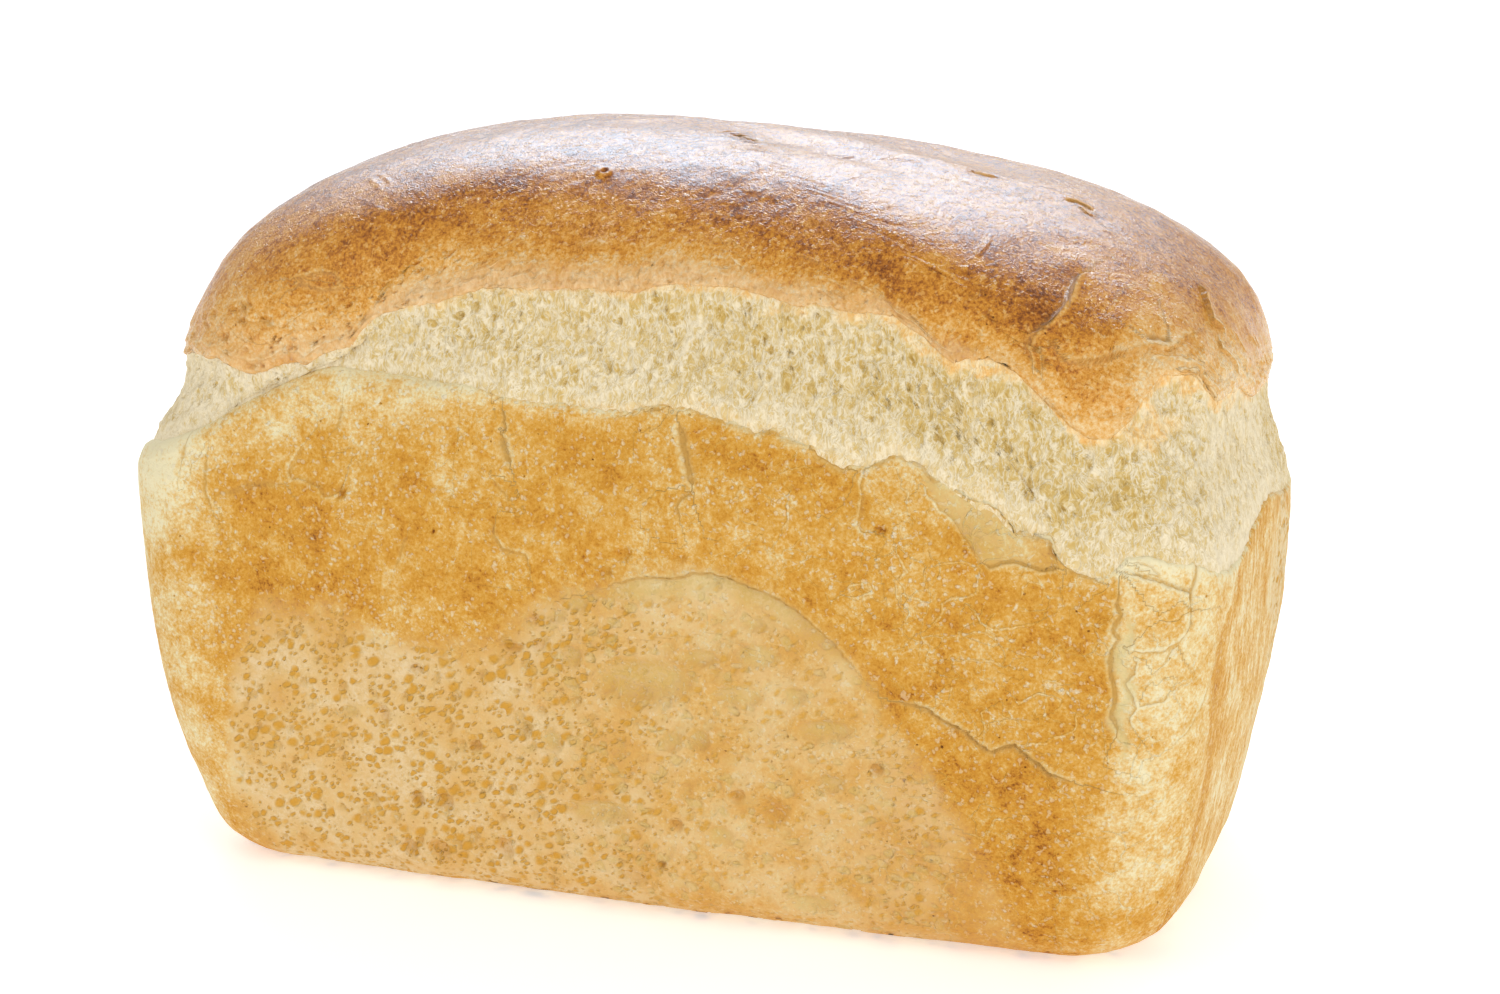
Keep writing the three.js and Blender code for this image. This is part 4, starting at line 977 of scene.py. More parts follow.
def other_features(L, P, s):
    """The hidden sides get the same kinds of marks, laid out by chance."""
    X, Z, wob = L["X"], L["Z"], L["wob"]
    rng = np.random.default_rng(11)
    lo, hi = s.min(), s.max()
    S = np.broadcast_to(s[None, :], P.shape[:2])
    M = Marks(S, Z, P, 160)
    for _ in range(16):
        x, z = rng.uniform(lo + 8, hi - 8), rng.uniform(14, 78)
        a = rng.uniform(-0.9, 0.9) + (math.pi / 2 if rng.random() < 0.45 else 0)
        pts = [(x, z)]
        for _ in range(rng.integers(3, 7)):
            a += rng.uniform(-0.7, 0.7)
            step = rng.uniform(1.6, 3.6)
            pts.append((pts[-1][0] + step * math.cos(a), pts[-1][1] + step * math.sin(a)))
        if rng.random() < 0.5:
            M.add(pts, dark=-1.0, width=0.9, lift=0.1, reach=1.5)
        else:
            M.add(pts, dark=0.6, lip=0.8, groove=0.35, width=1.2, lift=0.25, reach=2.5)
    skin = smooth(fbm(P, 38, 2, 166) + 0.25 * wob + 0.35 * smooth(Z, 60, 20) - 0.18, 0.0, 0.12) * smooth(L["corner"], 0.6, 0.2)
    skin = skin * smooth(S + 3.0 * wob, lo + 4, lo + 26) * smooth(S + 3.0 * wob, hi - 4, hi - 26)       # it dies out in the middles of the two ends
    L["skin"] = skin * 0.85
    L["dimp"] = skin * smooth(noise(P, 26, 168), 0.0, 0.25)
    L["tone"] = L["tone"] - 0.03 * skin
    wx, wz = S + 1.1 * noise(P, 5, 163), Z + 1.1 * noise(P, 5, 164)
    q1, _ = pores(wx, wz, 5.2, 171, 0.6, 1.4, 0.5, 1.5, angle=0.3, spread=0.6)
    big = smooth(q1, -0.05, 0.30) * skin
    L["D"] = L["D"] - 0.55 * big + M.D
    L["tone"] = L["tone"] + 0.03 * big
    L["web"] = L["web"] - 0.10 + 0.40 * smooth(fbm(P, 30, 2, 167), 0.0, 0.3) * smooth(S, lo, lo + 20) * smooth(S, hi, hi - 20)
    L.update(crk=np.clip(M.crk, -9, 9), crw=M.crw, crp=M.crp)
    return L


def build_side(name, s, n_wall, shown):
    rows = spaced([(0, 1.0), (0.85, 1.0), (0.93, 0.75), (1.0, 0.6)], n_wall)
    P = side_grid(s, rows)
    N = grid_normals(P)
    L = wall_looks(P, s, rim_line(s))
    L = front_features(L, P) if shown else other_features(L, P, s)
    nr = P.shape[0]
    fade = np.ones(nr); fade[:4] = 0; fade[4:8] = [0.25, 0.5, 0.75, 0.9]; fade[-4:] = 0.2
    Q = P + N * (L["D"] * fade[:, None])[..., None]
    Q[..., 2] = np.maximum(Q[..., 2], 0.0)
    mid = P[:, P.shape[1] // 2]
    arc = np.concatenate([[0], np.cumsum(np.linalg.norm(np.diff(mid, axis=0), axis=-1))])
    row = P[P.shape[0] // 2]
    au = np.concatenate([[0], np.cumsum(np.linalg.norm(np.diff(row, axis=0), axis=-1))])
    speck = mix(1.0, 0.55, L["corner"]) * mix(1.0, 0.35, L["skin"]) * mix(1.0, 0.6, L["ends"])
    return make_piece(name, Q, dict(speck=speck, **{k: L[k] for k in ("tone", "pale", "dark", "olive", "skin", "dimp", "web", "crk", "crw", "crp", "grain")}), SIDE_MAT,
                      uv_u=au / au[-1], uv_v=arc / arc[-1], normals=grid_normals(Q))


LEFT_MID, RIGHT_MID = STARTS[4] + SHARE_Y, TOTAL       # middles of the two ends
# steps in mm along the shown half: finest on the long side
s_front = spaced([(LEFT_MID, 1.1), (LEFT_MID + 30, 0.9), (STARTS[5] + 10, 0.55), (STARTS[6], 0.46), (STARTS[7], 0.45), (STARTS[8] - 5, 0.46), (STARTS[8] + 12, 0.8), (RIGHT_MID, 1.0)], int(600 * FINE))
s_back = spaced([(0.0, 0.9), (STARTS[1], 0.9), (STARTS[2], 0.9), (STARTS[4] + SHARE_Y, 0.9)], int(350 * FINE))
build_side("loaf_side_shown", s_front, int(141 * FINE), True)
build_side("loaf_side_rear", s_back, int(140 * FINE), False)


def square_place(u, v):
    """Perimeter place of a point on the unit square's outline, so that square rings map to the loaf's rings."""
    c = [STARTS[1] + SHARE_C / 2, STARTS[3] + SHARE_C / 2, STARTS[5] + SHARE_C / 2, STARTS[7] + SHARE_C / 2]
    right = (u >= np.abs(v)); left = (-u >= np.abs(v)) & ~right
    back = (v > np.abs(u)); front = (-v > np.abs(u))
    s = np.zeros_like(u)
    s = np.where(right, v * c[0], s)
    s = np.where(back, mix(c[0], c[1], (1 - u) / 2), s)
    s = np.where(left, mix(c[1], c[2], (1 - v) / 2), s)
    s = np.where(front, mix(c[2], c[3], (1 + u) / 2), s)
    return np.mod(s, TOTAL)


# ---- the flat bottom
def build_base():
    n, m = int(150 * FINE), int(70 * FINE)
    g, h = np.meshgrid(np.linspace(-1, 1, n), np.linspace(-1, 1, m))
    w = np.maximum(np.abs(g), np.abs(h))
    a, b = wall(0.0)
    s = square_place(np.where(w > 0, g / np.maximum(w, 1e-9), 1.0), np.where(w > 0, h / np.maximum(w, 1e-9), 0.0))
    ins = BOTTOM_RADIUS + 6.0
    x, y = rounded_rectangle(s, (a - ins) * w + 1e-6, (b - ins) * w + 1e-6, np.minimum(8.0 * w, (b - ins) * w), SIDE_BOW * w)
    P = np.stack([x, y, np.full_like(x, 0.0)], -1) + SHIFT
    P[..., 2] = 0.25 + np.maximum(0, 0.5 + 0.5 * fbm(P, 16, 3, 50) + 0.18 * fbm(P, 3, 2, 51)) * smooth(1 - w, 0.0, 0.12)
    tone = 0.50 + 0.10 * fbm(P, 20, 3, 52)
    skin = smooth(fbm(P, 30, 2, 53), -0.1, 0.2)
    zero = tone * 0
    make_piece("loaf_base", P, dict(tone=tone, pale=zero, dark=zero, olive=zero, speck=zero + 0.6, skin=skin, dimp=zero + 0.3, web=zero, crk=zero + 9, crw=zero, crp=zero, grain=zero), SIDE_MAT, flip=True)


build_base()

# =====================================================================================
# Torn crumb
# =====================================================================================
# open holes and arched hollows on the shown side: place, height, half width, half height; arches have a thin pale wall
# round a hollow painted olive as shade
HOLES = [(21.6, 119.6, 0.6, 0.8), (22.7, 114.5, 0.6, 1), (36.5, 118.1, 0.6, 1.1), (37.4, 116.3, 0.5, 0.8), (33.5, 112.3, 0.6, 1.1), (50.7, 120.9, 0.6, 1.3), (47.6, 115, 0.5, 0.8),
         (50.3, 115.2, 0.8, 1), (59.7, 114.6, 0.6, 1.1), (69.8, 111.3, 0.5, 0.8), (66.7, 103.1, 0.8, 0.6), (89.4, 92.1, 0.8, 0.6), (91, 91.5, 0.5, 0.6), (6, 122.6, 0.5, 0.5), (3.1, 118.4, 0.5, 0.5),
         (-39.4, 124, 2.0, 0.6), (-53, 117.4, 1.4, 0.8), (-47, 119, 1.2, 0.8), (-40.5, 115.8, 0.6, 1), (-22, 115.1, 0.6, 0.8), (-34.1, 121.8, 0.5, 0.6), (106.1, 107, 0.9, 1), (101.6, 100.5, 0.6, 0.8),
         (103.1, 101.2, 0.6, 1), (110.6, 97.3, 0.5, 0.5), (100.1, 102.1, 0.8, 0.8)]
ARCHES = [(45.7, 124.4, 1.2, 1.3), (27.1, 125.2, 0.7, 1.1), (57.6, 119.4, 1.0, 1.5), (68.1, 119.3, 1.5, 1.2), (72.2, 110.1, 1.0, 2.1), (77.7, 110.8, 1.5, 2.6), (79.5, 109.2, 1.1, 2.0),
          (86.2, 111.3, 1.7, 2.1), (96.6, 97, 1.4, 1.4), (98.1, 93.8, 0.9, 1.7), (-10.4, 116.9, 1.4, 1.4), (-13.4, 124.1, 0.9, 1.4)]


def ridged(P, size, seed):
    """Thin crests where noise passes through zero: 1 on a crest, 0 between."""
    return 1 - clamp(np.abs(noise(P, size, seed)) * 3.2)


def build_crumb():
    s = spaced([(0.0, 0.6), (STARTS[1], 0.9), (STARTS[2], 1.1), (STARTS[4], 1.1), (STARTS[5], 0.6), (STARTS[6], 0.36), (STARTS[7], 0.32), (STARTS[8], 0.32), (STARTS[8] + 14, 0.42), (TOTAL, 0.6)], int(1230 * FINE))[:-1]
    nr = int(80 * FINE)
    w = np.concatenate([[-0.20, -0.12, -0.06], np.linspace(-0.02, 1.02, nr - 6), [1.04, 1.07, 1.12]])[:, None]
    S = s[None, :]
    rim, edge = rim_line(s)[None, :], edge_line(s)[None, :]
    X1 = front_x(s)[None, :]
    roll = smooth(X1, -28, -44) * smooth(X1, -135, -115)
    z0 = rim - mix(0.6, 0.5, roll)
    wd = edge_on_dome(s, edge_line(s))[None, :]
    low, high = on_wall(S, z0, mix(0.55, 2.3, roll) + 0 * S), dome(S, wd)
    hl = np.hypot(high[..., 0], high[..., 1])[..., None]
    high = high * np.concatenate([np.repeat(1 - 0.6 / hl, 2, -1), np.ones_like(hl)], -1)
    P = mix(low, high, smooth(w)[..., None])
    P[..., 2] = mix(z0, edge - 0.4, np.minimum(w, 1.0))      # beyond the edge it only turns inwards, under the crust
    r = np.hypot(P[..., 0], P[..., 1])
    hide = 2.4 * smooth(-w, 0.02, 0.20) + 2.2 * smooth(w, 1.02, 1.12)
    bow = np.interp(X1, [-170, -115, -95, -80, -60, -40, 0, 60, 100, 150], [0.9, 1.2, 1.9, 1.7, 0.9, 0.7, 0.7, 0.9, 0.4, 0.7])
    P[..., :2] *= (1 - (bow * np.sin(math.pi * clamp(w)) + hide) / r)[..., None]
    P = P + SHIFT
    N = grid_normals(P, True)
    X = np.broadcast_to(X1, P.shape[:2])
    Z = P[..., 2]
    # true length along each level from the middle of the shown side, so that upright patterns stand upright where the band narrows
    mid = int(np.argmin(np.abs(X1[0])))
    seam = int(np.argmax(np.abs(X1[0])))
    turned = np.roll(P, -seam, 1)
    run = np.concatenate([np.zeros((len(P), 1)), np.cumsum(np.hypot(*(np.diff(turned[..., :2], axis=1)).transpose(2, 0, 1)), axis=1)], 1)
    run = np.roll(run, seam, 1)
    R = run - run[:, mid:mid + 1]
    G = flat(R, Z)                                         # place on the band, for patterns that run upright
    live = smooth(w, -0.01, 0.10) * smooth(w, 1.02, 0.94) * smooth(TOTAL / 2 - np.abs(X), 0.5, 4.0)
    calm = smooth(w, 0.30, 0.05)                           # smooth stretched skin just over the rim
    W = P + np.stack([1.0 * noise(P, 6, 81), 1.0 * noise(P, 6, 82), 1.0 * noise(P, 6, 88)], -1)
    strands = 0.6 * ridged(W, (2.2, 2.2, 5.0), 83) + 0.4 * ridged(W, (1.15, 1.15, 2.4), 84)
    D = 0.50 * fbm(P, (8, 8, 9), 3, 85) + 0.24 * fbm(P, (2.4, 2.4, 3.2), 2, 86)
    D = D + (0.28 * strands - 0.10) * mix(1.0, 0.35, calm)
    tone = 0.44 + 0.14 * fbm(P, 8, 3, 87) - 0.28 * (strands - 0.35) - 0.06 * calm
    # leaner and deeper torn in the middle and under the fold, paler towards the two ends
    tone = tone + 0.05 * smooth(w, 0.25, 0.5) * smooth(X, -60, -20) * smooth(X, 112, 100) + 0.07 * smooth(X, 50, 75) * smooth(X, 110, 98)
    tone = tone - 0.20 * smooth(X, -50, -80) * smooth(X, -150, -125) - 0.22 * smooth(X, 108, 122) * smooth(X, 190, 160)
    dark, pale, olive = np.zeros_like(Z), np.zeros_like(Z), np.zeros_like(Z)
    # scattered upright holes with thin pale walls, the holes painted darker and olive as shade
    for seed, size, r0, r1, share, depth in ((91, 3.8, 0.30, 0.80, 0.38, 0.38), (92, 2.1, 0.20, 0.40, 0.34, 0.22)):
        wx, wz = R + 0.6 * noise(P, 2.4, seed + 5), Z + 0.6 * noise(P, 2.4, seed + 6)
        q, _ = pores(wx, wz / 1.6, size, seed, r0, r1, share, 1.15, angle=0.0, spread=0.4)
        hole = smooth(q, -0.02, 0.35) * live * (1 - 0.8 * calm)
        wall_ = smooth(q, -0.42, -0.12) * smooth(q, 0.10, -0.05) * live
        D = D - depth * hole + 0.16 * wall_
        dark = np.maximum(dark, 0.45 * hole); olive = np.maximum(olive, 0.5 * hole)
        pale = np.maximum(pale, 0.55 * wall_)
    # soft sunk hollows, painted olive as shade in them
    q, _ = pores(R + noise(P, 4, 95), (Z + noise(P, 4, 96)) / 1.3, 6.0, 97, 1.0, 2.2, 0.6, 1.2, angle=0.2, spread=0.8)
    hol = smooth(q, -0.2, 0.6) * live * (1 - calm)
    D = D - 0.30 * hol
    olive = np.maximum(olive, 0.65 * hol)
    M = Marks(R, Z, P, 98, 0.22)

    def there(x, z):
        """The length along its own level of a spot given by its place round the loaf and its height."""
        k = int(np.argmin((X - x) ** 2 + (Z - z) ** 2))
        return R.flat[k]

    for x, z, rx, rz in HOLES:
        qq, e = M.pit(there(x, z), z, rx, rz, 0.34, 0.4)
        # painted shade: each open hole is painted dark and olive
        dark = np.maximum(dark, 0.75 * qq); olive = np.maximum(olive, 0.7 * qq)
        lip = smooth(e, 1.05, 1.2) * smooth(e, 1.6, 1.3)
        M.D += 0.08 * lip; pale = np.maximum(pale, 0.6 * lip)
    for x, z, rx, rz in ARCHES:
        qq, e = M.pit(there(x, z), z, rx, rz, 0.40, 0.45)
        # painted shade: each arched hollow is olive and darker towards its top, under the arch
        olive = np.maximum(olive, 1.3 * qq); dark = np.maximum(dark, 0.35 * qq * smooth(Z, z - 0.2 * rz, z + rz))
        lip = smooth(e, 1.02, 1.14) * smooth(e, 1.38, 1.20)
        M.D += 0.15 * lip; pale = np.maximum(pale, 1.1 * lip)
    D = D + M.D * live
    # lean band high up in the middle and right, where the crumb is deepest torn
    lean = smooth(fbm(G, (16, 7, 1), 3, 99) + 0.25 * smooth(X, 40, 75) * smooth(X, 100, 92), 0.05, 0.45) * smooth(w, 0.15, 0.4) * smooth(w, 1.05, 0.8)
    olive = np.maximum(olive, 0.35 * lean)
    tone = tone + 0.06 * lean
    # browned just under the top crust and in the shallow right part under the fold
    brown = smooth(w + 0.16 * fbm(G, (5, 3, 1), 3, 100), 0.80, 1.02) * np.interp(X, [-170, -100, -60, 20, 60, 100, 112, 150], [0.18, 0.08, 0.20, 0.24, 0.26, 0.30, 0.27, 0.22])
    brown = np.maximum(brown, 0.24 * smooth(np.hypot((X - 106) / 10, (Z - 105) / 6.0) + 0.45 * fbm(G, 4, 3, 101), 1.15, 0.2))
    brown = np.maximum(brown, 0.24 * smooth(w + 0.10 * fbm(G, (6, 3, 1), 3, 102), 0.34, 0.0) * np.interp(X, [-110, -60, -30, 0, 40, 60, 90, 120], [0.0, 0.05, 0.5, 0.8, 0.7, 0.65, 0.65, 0.3]))
    fade = smooth(w, -0.08, 0.06) * smooth(w, 1.04, 0.97)
    Q = P + N * (D * mix(0.2, 1.0, fade))[..., None]
    holes = live * mix(0.9, 0.15, calm)
    au = np.linspace(0, 1, len(s) + 1)
    make_piece("loaf_crumb", Q, dict(tone=tone, pale=pale, dark=dark, olive=olive, brown=brown, holes=holes), CRUMB_MAT, wrap=True, uv_u=au, normals=grid_normals(Q, True))


build_crumb()

# =====================================================================================
# Domed top crust
# =====================================================================================
# lines on the dome, in mm: (x, y, z). The first number pair in the settings says how they lift and mark the crust.
FOLD_LINES = [
    (dict(dark=0.35, lip=1.0, width=1.6, lift=0.9, reach=2.6, drop=0.6, drop_reach=4.0), [(81.4, -29.8, 130.5), (80.2, -33.7, 129.7), (80, -36, 129), (80.2, -39.6, 127.2), (79.2, -44.1, 124.8), (77.7, -46.5, 123.6), (75.8, -48.9, 121.8), (75.1, -50.4, 119.8), (76.5, -51.4, 117.4)]),
    (dict(dark=0.4, lip=0.6, width=1.8, lift=0.5, reach=3.0, drop=0.5, drop_reach=2.2), [(80.4, -49.2, 119.2), (81.6, -49.7, 117.7), (84.4, -48.7, 117.3), (87.7, -46.6, 117.6), (90.4, -43.9, 118.2), (94.3, -39, 118.6), (97.1, -36.3, 117.6), (98.4, -32.8, 118.1), (99, -29.7, 118.7), (100.2, -24.5, 118.7)]),
    (dict(dark=1.0, lip=1.4, width=2.2, groove=0.9, lift=0.5, reach=1.6, flip=True), [(94.0, -38.2, 119.6), (95.1, -36, 119.8), (96.9, -34.8, 118.7)]),
    (dict(dark=0.5, lip=1.2, width=1.3, lift=0.5, reach=2.0, drop=0.4, drop_reach=2.0), [(99.4, -37, 114.3), (101.2, -34.3, 113.5), (102.6, -31.2, 112.9), (102.5, -29, 114.1), (101.7, -30.1, 115)]),
    (dict(dark=0.8, lip=0.9, width=1.3, groove=0.5, lift=0.3, reach=2.0), [(102.7, -31, 112.9), (103.9, -30.4, 110), (105, -26.5, 107.2)]),
    (dict(dark=0.4, lip=1.2, width=1.5, lift=0.7, reach=2.4, drop=0.3, drop_reach=2.0), [(97.1, -5.4, 124), (99.3, -10.1, 121.4), (101.1, -13.5, 118.8), (102.8, -10.9, 116.7), (103.4, -11, 115.6)]),
    (dict(dark=0.4, lip=1.0, width=1.3, lift=0.4, reach=2.0, drop=0.3, drop_reach=2.0), [(102.6, -15.1, 116.4), (103.5, -17.5, 114.5), (105.4, -11.7, 110.6), (105.9, -11.5, 108.3)]),
    (dict(dark=1.0, lip=0.8, width=1.6, groove=1.0, lift=0.2), [(2.9, -2.9, 148.3), (4.1, -1.9, 148.3), (6.3, -2.9, 148.1), (8.8, -3.6, 147.9), (11.4, -5.8, 147.7)]),
    (dict(dark=1.0, lip=0.8, width=1.5, groove=0.9, lift=0.3), [(52, -1.7, 142.7), (54.2, -2.3, 142.4), (56.2, -2.6, 142), (57.1, -2.4, 141.8)]),
    (dict(dark=0.7, lip=1.2, width=1.4, groove=0.4, lift=0.5, reach=1.5), [(70.9, -4.1, 138.4), (72.3, -2.1, 138), (74.4, -2.2, 137.3), (76.1, -3.5, 136.6)]),
    (dict(dark=0.5, lip=1.0, width=1.2, lift=0.3, reach=1.2), [(73.4, -4.5, 137.5), (75.4, -6.4, 136.6), (76.8, -7.2, 136)]),
    (dict(dark=0.4, lip=0.8, width=1.1, lift=0.35, reach=3.0, drop=0.35, drop_reach=3.0), [(-69.7, -50, 123.9), (-66.3, -50.1, 124.5), (-62.9, -49.7, 125.8), (-59.9, -50, 125.3), (-57.6, -50.6, 124)]),
    (dict(dark=0.5, lip=0.6, width=1.1, drop=0.4, drop_reach=2.5), [(-68.7, -51, 122.1), (-67.3, -50.5, 123.5), (-62.7, -51.1, 122.5), (-56.4, -50.9, 123.3)]),
]
BLISTERS = [(-11.9, -30.9, 144.0, 1.3, 0.5), (57.7, -44.8, 130.8, 1.0, 0.45), (63.4, -35.5, 134.8, 0.8, 0.4), (-58.9, -31.4, 140.6, 1.5, 0.4), (-52.9, -42.2, 136.1, 0.9, 0.4), (81.0, -12.0, 134.0, 0.7, 0.35)]


def build_top():
    n, m = int(400 * FINE), int(236 * FINE)
    lip = 4                                       # rings outside the edge that curl under
    gx, gy = spaced([(-1, 0.8), (0, 1.0), (1, 0.72)], n), spaced([(-1, 0.55), (-0.2, 0.9), (1, 1.3)], m)
    gx = np.concatenate([-1 - np.arange(lip, 0, -1) * 0.01, gx, 1 + np.arange(1, lip + 1) * 0.01])
    gy = np.concatenate([-1 - np.arange(lip, 0, -1) * 0.01, gy, 1 + np.arange(1, lip + 1) * 0.01])
    g, h = np.meshgrid(gx, gy)
    w = np.maximum(np.abs(g), np.abs(h))
    s = square_place(g / np.maximum(w, 1e-9), h / np.maximum(w, 1e-9))
    ring = np.minimum(w, 1.0)
    edge = edge_line(s)
    e0 = edge_on_dome(s.ravel(), edge.ravel()).reshape(s.shape)
    ws = np.linspace(0, 1, 400)
    sec = dome(np.full_like(ws, FRONT_MID), ws)
    arc = np.concatenate([[0], np.cumsum(np.linalg.norm(np.diff(sec, axis=0), axis=-1))])
    a0 = np.interp(e0, ws, arc)
    wd = np.minimum(np.interp(mix(arc[-1], a0, ring), arc, ws), 0.99999)
    P = dome(s, wd)
    rise = np.sin(wd * math.pi / 2)
    x, y, z = P[..., 0], P[..., 1], P[..., 2]
    z = z + swells(x, y) * smooth(rise * 1.5 - 0.5)
    # a trough runs aslant behind the crown's front ridge, with a second low ridge behind it
    ta, tc = (x - 24) * 0.92 - (y + 5.5) * 0.38, (x - 24) * 0.38 + (y + 5.5) * 0.92
    z = z - 1.3 * np.exp(-((ta / 22) ** 2) - ((tc - 1.5) / 5.0) ** 2) + 0.7 * np.exp(-((ta / 26) ** 2) - ((tc - 12.5) / 6.5) ** 2)
    P = np.stack([x, y, z], -1)
    out = np.maximum(0, w - 1) / 0.01               # 1 to 4 over the curled rings
    rr = np.hypot(x, y)
    back = np.interp(out, [0, 1, 2, 3, 4], [0, 0.20, 0.60, 1.3, 2.6])
    drop = np.interp(out, [0, 1, 2, 3, 4], [0, 0.35, 0.50, 0.30, -0.3])
    P[..., 0] *= 1 - back / np.maximum(rr, 1); P[..., 1] *= 1 - back / np.maximum(rr, 1); P[..., 2] -= drop
    P = P + SHIFT
    N = grid_normals(P)
    up = (arc[-1] - a0) * (1 - ring)                # mm from the edge, up the dome
    X = front_x(s)
    wob = fbm(P, 16, 3, 110)
    D = uneven(P[..., 0], P[..., 1], P[..., 2]) * (1 - wd) + 0.40 * fbm(P, 18, 3, 111) + 0.13 * fbm(P, 4, 3, 112) + 0.05 * noise(P, 1.5, 113)
    # ---- brownness: deepest along the shoulder and over the crown, fading to the margin
    reach = np.interp(X, [-170, -112, -95, -70, -50, -20, 20, 45, 60, 75, 85, 100, 115, 150], [9, 12, 14, 13, 10, 8.5, 7.5, 6.5, 5.5, 5, 6, 9, 9, 8])
    tone = np.interp((up + 1.8 * wob + 0.8 * fbm(P, 5, 2, 115)) / reach, [0, 0.35, 0.65, 1.0, 1.35, 1.9, 2.4, 2.9, 4.0, 6.0], [0.36, 0.38, 0.43, 0.50, 0.59, 0.69, 0.77, 0.80, 0.80, 0.76])
    tone = tone + 0.05 * wob + 0.05 * fbm(P, 6, 2, 114) + 0.06 * smooth(X, -60, -95) * smooth(X, -150, -120) * smooth(up, 26, 8)
    pink = smooth(up + 1.5 * wob, np.interp(X, [-110, -60, -20, 20, 60, 84, 90, 150], [10, 8, 6.5, 5.5, 6, 6, 2, 3]), 0.6) * np.interp(X, [-175, -112, -95, -55, 0, 50, 84, 90, 105, 175], [0.1, 0.15, 0.45, 0.8, 0.8, 0.55, 0.6, 0.15, 0.1, 0.1])
    tone = tone + 0.09 * smooth(X, 66, 76) * smooth(X, 98, 88) * smooth(up, 7, 3) - 0.06 * smooth(P[..., 0], 5, 45) * smooth(tone, 0.55, 0.75)
    pale, dark, olive = np.zeros_like(tone), np.zeros_like(tone), np.zeros_like(tone)
    crk, crw, crp = np.full_like(tone, 9.0), np.zeros_like(tone), np.zeros_like(tone)
    # ---- thin flakes of the margin: scalloped edges one above the other, each with a painted shade line along it
    p1 = flat(X, np.zeros_like(X))
    for k, (base, amp, seed) in enumerate(((1.5, 1.0, 120), (4.2, 1.8, 121), (8.5, 2.6, 122))):
        scallop = base + amp * (np.abs(noise(p1 + 31 * k, 7.5, seed)) * 1.9 - 0.35) + 0.55 * np.abs(noise(p1, 2.6, seed + 10)) + 0.25 * noise(P, 1.2, seed + 20)
        part = smooth(noise(p1 + 77 * k, 15, seed + 30), (-0.35, -0.12, 0.0)[k], (-0.1, 0.12, 0.25)[k]) * smooth(np.abs(X - 96), 6, 14)
        v = (up - scallop)
        D = D + part * (0.36 if k < 2 else 0.22) * smooth(v, -0.25, 0.25) * np.exp(-np.maximum(v, 0) / (2.6 if k < 2 else 4.0))
        near = (np.abs(v) < np.abs(crk)) & (part > 0.15)
        crk, crw, crp = np.where(near, v, crk), np.where(near, 0.30 * part, crw), np.where(near, 0.60 * part, crp)
    # ---- folds, slits and curls
    for how, pts in FOLD_LINES:
        how = dict(how); width = how.get("width", 1.0)
        pts = np.array(pts)
        lo, hi = pts.min(0) - 9, pts.max(0) + 9
        mk = ((P > lo) & (P < hi)).all(-1)
        if not mk.any():
            continue
        Pm = P[mk] + 0.30 * np.stack([noise(P[mk], 1.9, 130 + i) for i in range(3)], -1) + 0.12 * np.stack([noise(P[mk], 0.8, 140 + i) for i in range(3)], -1)
        d, t, side = line_distance(Pm, pts, N[mk])
        if how.get("flip"):
            side = -side
        ends = smooth(t, -0.001, 0.14) * smooth(t, 1.001, 0.86)
        v = side * (d + (1 - ends) * 1.1) / width
        near = np.abs(v) < np.abs(crk[mk])
        for a, val in ((crk, v), (crw, how.get("dark", 0.0)), (crp, how.get("lip", 0.0))):
            q = a[mk]; q[near] = val if np.ndim(val) == 0 else val[near]; a[mk] = q
        D[mk] += ends * (-how.get("groove", 0) * np.exp(-((d / (0.45 * width)) ** 2)) + how.get("lift", 0) * (side > 0) * np.exp(-d / how.get("reach", 3.0))
                         - how.get("drop", 0) * (side < 0) * np.exp(-d / how.get("drop_reach", 3.0)))
    for bx, by, bz, r, hgt in BLISTERS:
        e = np.sqrt(((P - np.array([bx, by, bz])) ** 2).sum(-1)) / r
        D = D + hgt * (smooth(e, 1.5, 0.9) - 1.2 * smooth(e, 0.62, 0.25))
        dark = np.maximum(dark, 0.45 * smooth(e, 0.6, 0.3)); pale = np.maximum(pale, 0.6 * smooth(e, 1.3, 1.0) * smooth(e, 0.6, 0.85))
    # ---- the folded patch: golden, smoother; brown shadow left of its ridge
    patch = smooth(P[..., 0] + 0.22 * (P[..., 2] - 118), 76.0, 80.0) * smooth(P[..., 2] + 2.0 * wob, 127, 118) * (P[..., 1] < -8)
    tone = tone - 0.02 * patch
    hollow = np.exp(-((P[..., 0] - 76.5) / 3.2) ** 2 - ((P[..., 2] - 127.5) / 3.5) ** 2) * (P[..., 1] < 0)
    tone = tone + 0.10 * hollow
    # bulge of the flap between the two folds
    D = D + 0.9 * np.exp(-((P[..., 0] - 86) / 6) ** 2 - ((P[..., 2] - 121.5) / 2.6) ** 2) * (P[..., 1] < -10) + 0.7 * np.exp(-((P[..., 0] - 98) / 3.5) ** 2 - ((P[..., 2] - 115.5) / 2.2) ** 2) * (P[..., 1] < -10)
    tone = tone - 0.06 * smooth(P[..., 0], 86, 100) * (P[..., 1] < 30)
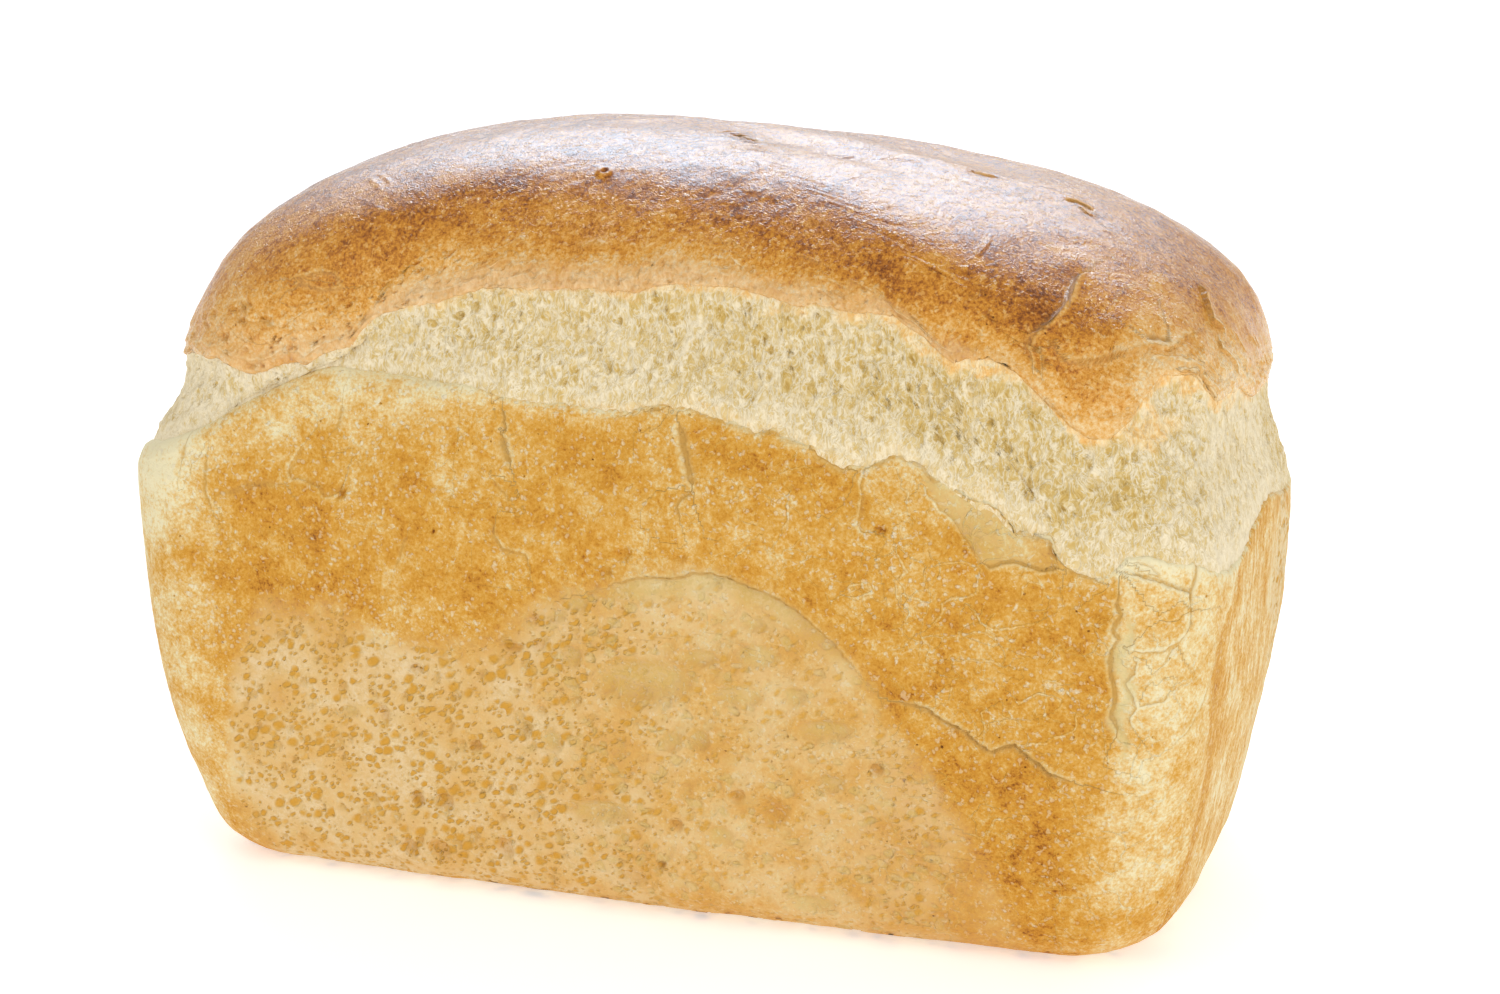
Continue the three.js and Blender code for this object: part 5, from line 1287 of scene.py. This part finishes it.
    # ---- the margin is bubbly and half torn, most of all at the left
    bub = smooth(X, -50, -62) * smooth(X, -108, -100) * smooth(up + 1.5 * wob, 15, 9)
    bub = np.maximum(bub, 0.55 * smooth(up + 1.2 * wob, 7.5, 3.5) * smooth(np.abs(X - 96), 8, 18))
    q, _ = pores(X + noise(P, 3, 150), P[..., 2] + noise(P, 3, 151), 2.8, 152, 0.35, 0.95, 0.6, 1.2, angle=0.3, spread=0.9)
    hole = smooth(q, -0.05, 0.35) * bub
    wall_ = smooth(q, -0.45, -0.12) * smooth(q, 0.10, -0.05) * bub
    D = D + bub * (0.65 * fbm(P, 3.6, 3, 153)) - 0.55 * hole + 0.15 * wall_
    pale = np.maximum(pale, 0.35 * wall_)
    tone = tone + 0.15 * hole - 0.05 * bub + 0.03
    D = D * (1 - 0.75 * smooth(np.abs(X - 87), 15, 9) * smooth(up, 3.0, 0.0))      # under the fold the edge lies close to the crumb
    D = D * smooth(-out, -3, 0)
    Q = P + N * D[..., None]
    hx = np.concatenate([[0], np.cumsum(np.abs(np.diff(gx)))]); hy = np.concatenate([[0], np.cumsum(np.abs(np.diff(gy)))])
    web = 0.30 * smooth(up, 22, 8)
    make_piece("loaf_top", Q, dict(tone=tone, pale=pale, dark=dark, olive=olive, pink=pink, web=web, crk=np.clip(crk, -9, 9), crw=crw, crp=crp, speck=tone * 0 + 0.85),
               TOP_MAT, uv_u=hx / hx[-1], uv_v=hy / hy[-1], normals=grid_normals(Q))


build_top()

# =====================================================================================
# Floor, light and camera
# =====================================================================================
def flat_material(name, colour, rough):
    g = Graph(name)
    n = g.noise(60.0, 2, 0.5)
    g.put(g.bsdf.inputs["Base Color"], g.mixc(g.mul(n, 0.04), colour, (0.8, 0.8, 0.8)))
    g.bsdf.inputs["Roughness"].default_value = rough
    g.bsdf.inputs["Specular IOR Level"].default_value = 0.0
    g.bsdf.inputs["Emission Color"].default_value = (1.0, 1.0, 1.0, 1.0)      # a faint light-table glow keeps the ground white
    g.bsdf.inputs["Emission Strength"].default_value = 0.40
    return g.m


floor_me = bpy.data.meshes.new("floor")
floor_me.from_pydata([(-60, -60, 0), (60, -60, 0), (60, 60, 0), (-60, 60, 0)], [], [(0, 1, 2, 3)])
floor = bpy.data.objects.new("floor", floor_me)
bpy.context.scene.collection.objects.link(floor)
floor.location.z = -0.0002
floor_me.materials.append(flat_material("floor_pale", (0.96, 0.96, 0.96), 0.85))

world = bpy.data.worlds.new("studio")
bpy.context.scene.world = world
world.use_nodes = True
world.node_tree.nodes["Background"].inputs[0].default_value = (1.0, 1.0, 1.0, 1)
world.node_tree.nodes["Background"].inputs[1].default_value = 0.60


def softbox(name, at, look, size, power, colour=(1, 1, 1)):
    li = bpy.data.lights.new(name, "AREA")
    li.shape, li.size, li.size_y, li.energy, li.color = "RECTANGLE", size[0], size[1], power, colour
    ob = bpy.data.objects.new(name, li)
    bpy.context.scene.collection.objects.link(ob)
    ob.location = at
    d = Vector(look) - Vector(at)
    ob.rotation_euler = d.to_track_quat("-Z", "Y").to_euler()
    return ob


softbox("top_back", (-0.85, 2.65, 1.62), (0, 0, 0.10), (3.7, 2.1), 42, (0.88, 0.94, 1.0))
# seen only as a sheen on the glossy top: a bright high pane and a faint low one
for name, at, size, power in (("window_high", (-0.68, 2.06, 2.00), (1.95, 1.06), 79), ("window_low", (-0.55, 2.50, 1.45), (2.3, 0.9), 12)):
    softbox(name, at, (0, 0, 0.10), size, power, (0.58, 0.79, 1.0)).visible_diffuse = False
softbox("front_left", (-0.9, -1.3, 1.0), (0, 0, 0.07), (1.2, 1.2), 4.0, (1.0, 0.99, 0.97))
softbox("front_right", (1.2, -0.9, 0.8), (0, 0, 0.07), (1.0, 1.0), 7.5, (1.0, 0.99, 0.98))


CAM_F, CAM_AZ, CAM_EL, CAM_ROLL, CAM_DIST, CAM_TX, CAM_TZ = 2888.74, 19.19, 15.168, -0.487, 592.97, 5.523, 12.961
a, e, r = (math.radians(v) for v in (CAM_AZ, CAM_EL, CAM_ROLL))
back = Vector((math.sin(a) * math.cos(e), -math.cos(a) * math.cos(e), math.sin(e)))
right = Vector((math.cos(a), math.sin(a), 0))
up = back.cross(right)
target = Vector((0, 0, 60.0)) + CAM_TX * right + CAM_TZ * up
pos = (target + back * CAM_DIST) / 1000.0
right, up = right * math.cos(r) + up * math.sin(r), up * math.cos(r) - right * math.sin(r)
cam_data = bpy.data.cameras.new("camera")
cam_data.sensor_fit, cam_data.sensor_width = "HORIZONTAL", 36.0
cam_data.lens = CAM_F / 1500.0 * 36.0
cam_data.clip_start, cam_data.clip_end = 0.05, 50
cam = bpy.data.objects.new("camera", cam_data)
bpy.context.scene.collection.objects.link(cam)
m = Matrix((right, up, back)).transposed().to_4x4()
m.translation = pos
cam.matrix_world = m
bpy.context.scene.camera = cam
bpy.context.scene.view_settings.view_transform = "Standard"
bpy.context.scene.view_settings.look = "None"
